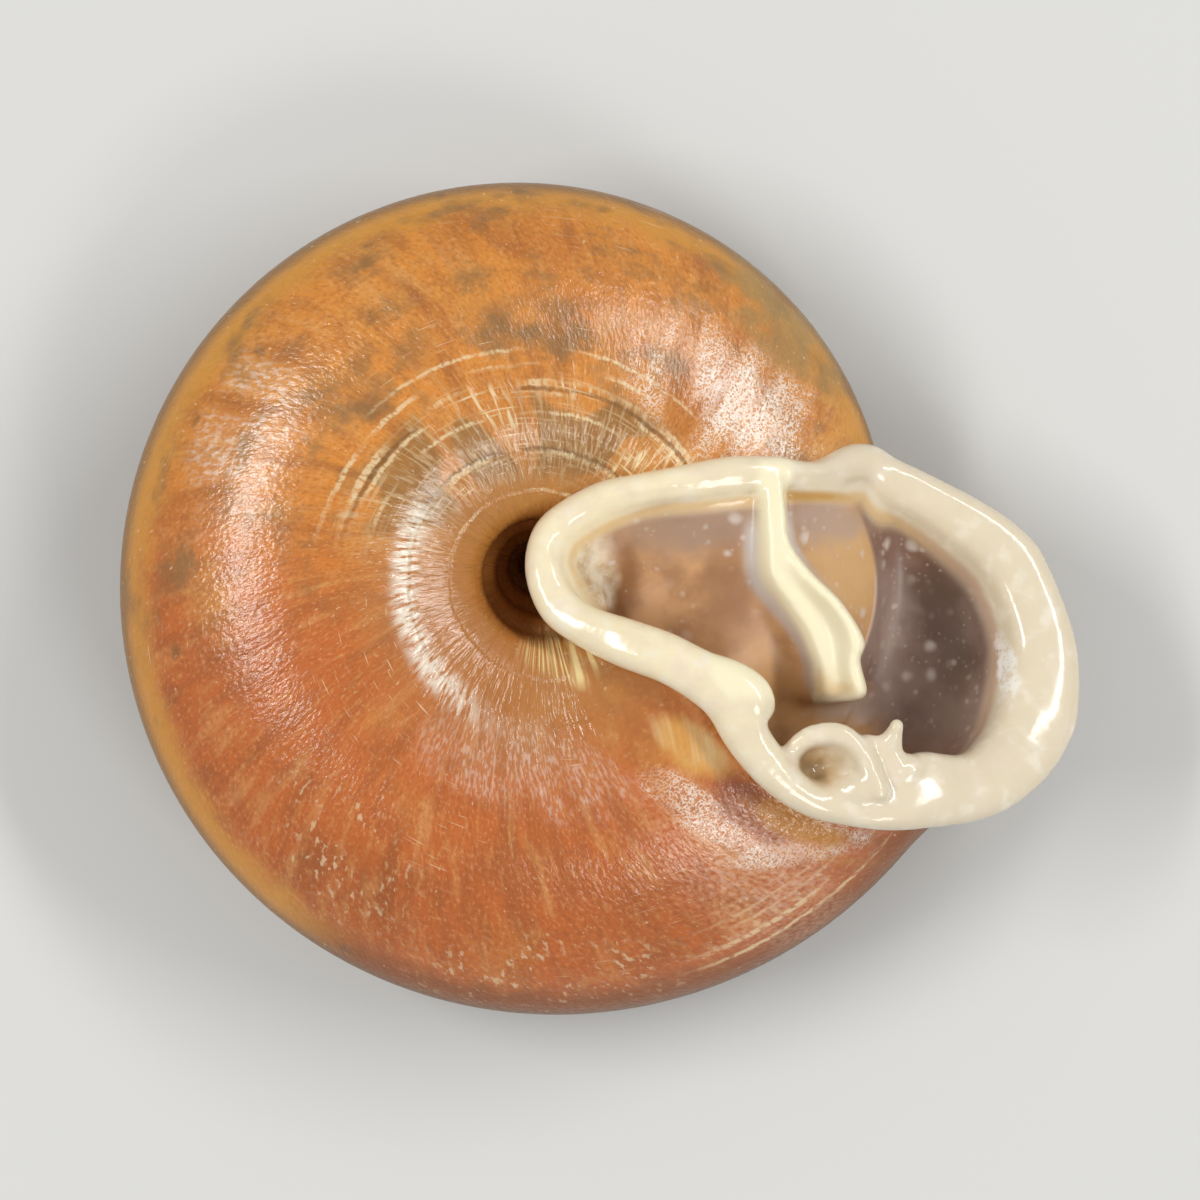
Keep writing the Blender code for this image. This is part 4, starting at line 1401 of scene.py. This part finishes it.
def mouthMaps(tree, maps):
    node = partial(add, tree)
    warp = node(noiseNode, {"Vector": maps["spot"], "Scale": 0.6, "Detail": 2.0}, out="Color")
    warp = node(vectorNode, warp, (0.5, 0.5, 0.5), operation="SUBTRACT")
    maps["plan"] = node(vectorNode, warp, (2.0, 2.0, 2.0), maps["spot"], operation="MULTIPLY_ADD")
    maps["edge"] = 0.6
    maps["fray"] = 0.0
    turned = node(turnNode, {"Vector": maps["spot"], "Angle": 0.6}, rotation_type="Z_AXIS")
    threads = node(noiseNode, {"Vector": turned, "Scale": 1.4, "Detail": 2.0, "Distortion": 1.2})
    threads = node("SUBTRACT", threads, 0.5)
    maps["threadGap"] = node("ABSOLUTE", threads)
    # the fold's line is a parabola in plan
    fold = node("SUBTRACT", maps["y"], 0.6)
    fold = node("POWER", fold, 2.0)
    fold = node("MULTIPLY_ADD", fold, 0.065, maps["x"])
    maps["fold"] = node("SUBTRACT", fold, 14.5)
    maps["foldGap"] = node("ABSOLUTE", maps["fold"])
    # the lip thins out quickly over the previous whorl and slowly on its outer side
    reach = node(rangeNode, maps["x"], 12.0, 17.0, 1.0, 1.6)
    maps["fade"] = node("DIVIDE", maps["lipGap"], reach)
    spot = node(vectorNode, warp, (0.5, 0.5, 0.5), maps["spot"], operation="MULTIPLY_ADD")
    maps["bubbles"] = 0.0
    for scale, radius, empty, strength in bubbleSizes:
        cell = {"Vector": spot, "Scale": scale}
        away = node("ShaderNodeTexVoronoi", cell, out="Distance")
        chance = node("ShaderNodeSeparateColor", node("ShaderNodeTexVoronoi", cell, out="Color"))
        size = node(rangeNode, chance, empty, 1.0, 0.0, radius, interpolation_type="SMOOTHSTEP")
        inward = node("SUBTRACT", size, away)
        dots = node(rangeNode, inward, -0.1, 0.24, 0.0, strength, interpolation_type="SMOOTHSTEP")
        maps["bubbles"] = node("MAXIMUM", maps["bubbles"], dots)
    for name, mask in mouthMasks.items():
        maps[name] = hold(tree, maps, mask)


def lipEnamel():
    # porcelain-like inner layer: glossy ivory on the lip, thin enough in the hollow for the brown to show
    made, tree, maps = startMaterial("lipEnamel", ("lipGap", "tooth"), mouthClouds)
    mouthMaps(tree, maps)
    for name, coats in mouthPaint.items():
        maps[name] = paint(tree, maps, mouthLook, *coats)
    height = hold(tree, maps, mouthRelief)
    fill(tree, tree.nodes["Principled BSDF"], {
        "Base Color": maps["enamel"],
        "Normal": add(tree, "ShaderNodeBump", {"Strength": 1.0, "Distance": mm, "Height": height}),
        "Roughness": add(tree, rangeNode, maps["lipGap"], 0.4, 1.6, 0.14, 0.36),
        "IOR": 1.53,
        "Subsurface Weight": 0.2,
        "Subsurface Radius": (1.0, 0.7, 0.45),
        "Subsurface Scale": 0.6 * mm,
    })
    return made


enamel = lipEnamel()
whorls = growWhorls(periostracum())
mouth = growMouth(enamel)
hollow = growHollow(enamel)
pieces = (whorls, mouth, hollow)
settle(pieces)


# the floor, the light and the camera, in millimetres unless the name says metres
stage = {
    "floor": "#D9D8D4",
    "floorRoughness": 0.9,
    "floorHalfMetres": 0.6,
    "worldColour": (0.95, 0.97, 1.0, 1.0),
    "worldStrength": 0.36,
    "lampMetres": 0.5,
    "sensorWidth": 36.0,
    "frameWidth": 62.76,
    "cameraHeight": 300.0,
    "focusHeight": 8.5,
}

# softboxes: azimuth and elevation in degrees, width and height in metres, watts
lamps = {
    "leftBox": (172, 50, 0.3, 0.07, 1.1),
    "rightBox": (24, 46, 0.42, 0.06, 1.1),
    "lowBox": (-52, 48, 0.16, 0.1, 0.4),
}


def addFloor():
    s = stage["floorHalfMetres"]
    made = meshObject("floor", [(-s, -s, 0), (s, -s, 0), (s, s, 0), (-s, s, 0)], [(0, 1, 2, 3)])
    # matt white paper
    paper = bpy.data.materials.new("paper")
    paper.use_nodes = True
    tree = paper.node_tree
    look = {"Base Color": stage["floor"], "Roughness": stage["floorRoughness"]}
    fill(tree, tree.nodes["Principled BSDF"], look)
    made.data.materials.append(paper)


def addLights():
    for name, (azimuth, elevation, width, height, watts) in lamps.items():
        data = bpy.data.lights.new(name, "AREA")
        data.shape = "RECTANGLE"
        data.size = width
        data.size_y = height
        data.energy = watts
        made = bpy.data.objects.new(name, data)
        a = math.radians(azimuth)
        e = math.radians(elevation)
        toward = Vector((math.cos(a) * math.cos(e), math.sin(a) * math.cos(e), math.sin(e)))
        made.location = toward * stage["lampMetres"]
        made.rotation_euler = (-toward).to_track_quat("-Z", "Y").to_euler()
        bpy.context.scene.collection.objects.link(made)
    world = bpy.data.worlds.new("studio")
    world.use_nodes = True
    tree = world.node_tree
    fill(tree, tree.nodes["Background"], {"Color": stage["worldColour"], "Strength": stage["worldStrength"]})
    bpy.context.scene.world = world


def addCamera():
    data = bpy.data.cameras.new("camera")
    data.sensor_width = stage["sensorWidth"]
    data.lens = stage["sensorWidth"] * stage["cameraHeight"] / stage["frameWidth"]
    data.clip_start = 0.01
    made = bpy.data.objects.new("camera", data)
    made.location = (0.0, 0.0, (stage["cameraHeight"] + stage["focusHeight"]) * mm)
    bpy.context.scene.collection.objects.link(made)
    bpy.context.scene.camera = made


addFloor()
addLights()
addCamera()
bpy.context.scene.view_settings.view_transform = "Standard"
print("floor, lights and camera set")

for piece in pieces:
    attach(piece, "root")
    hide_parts("shell")
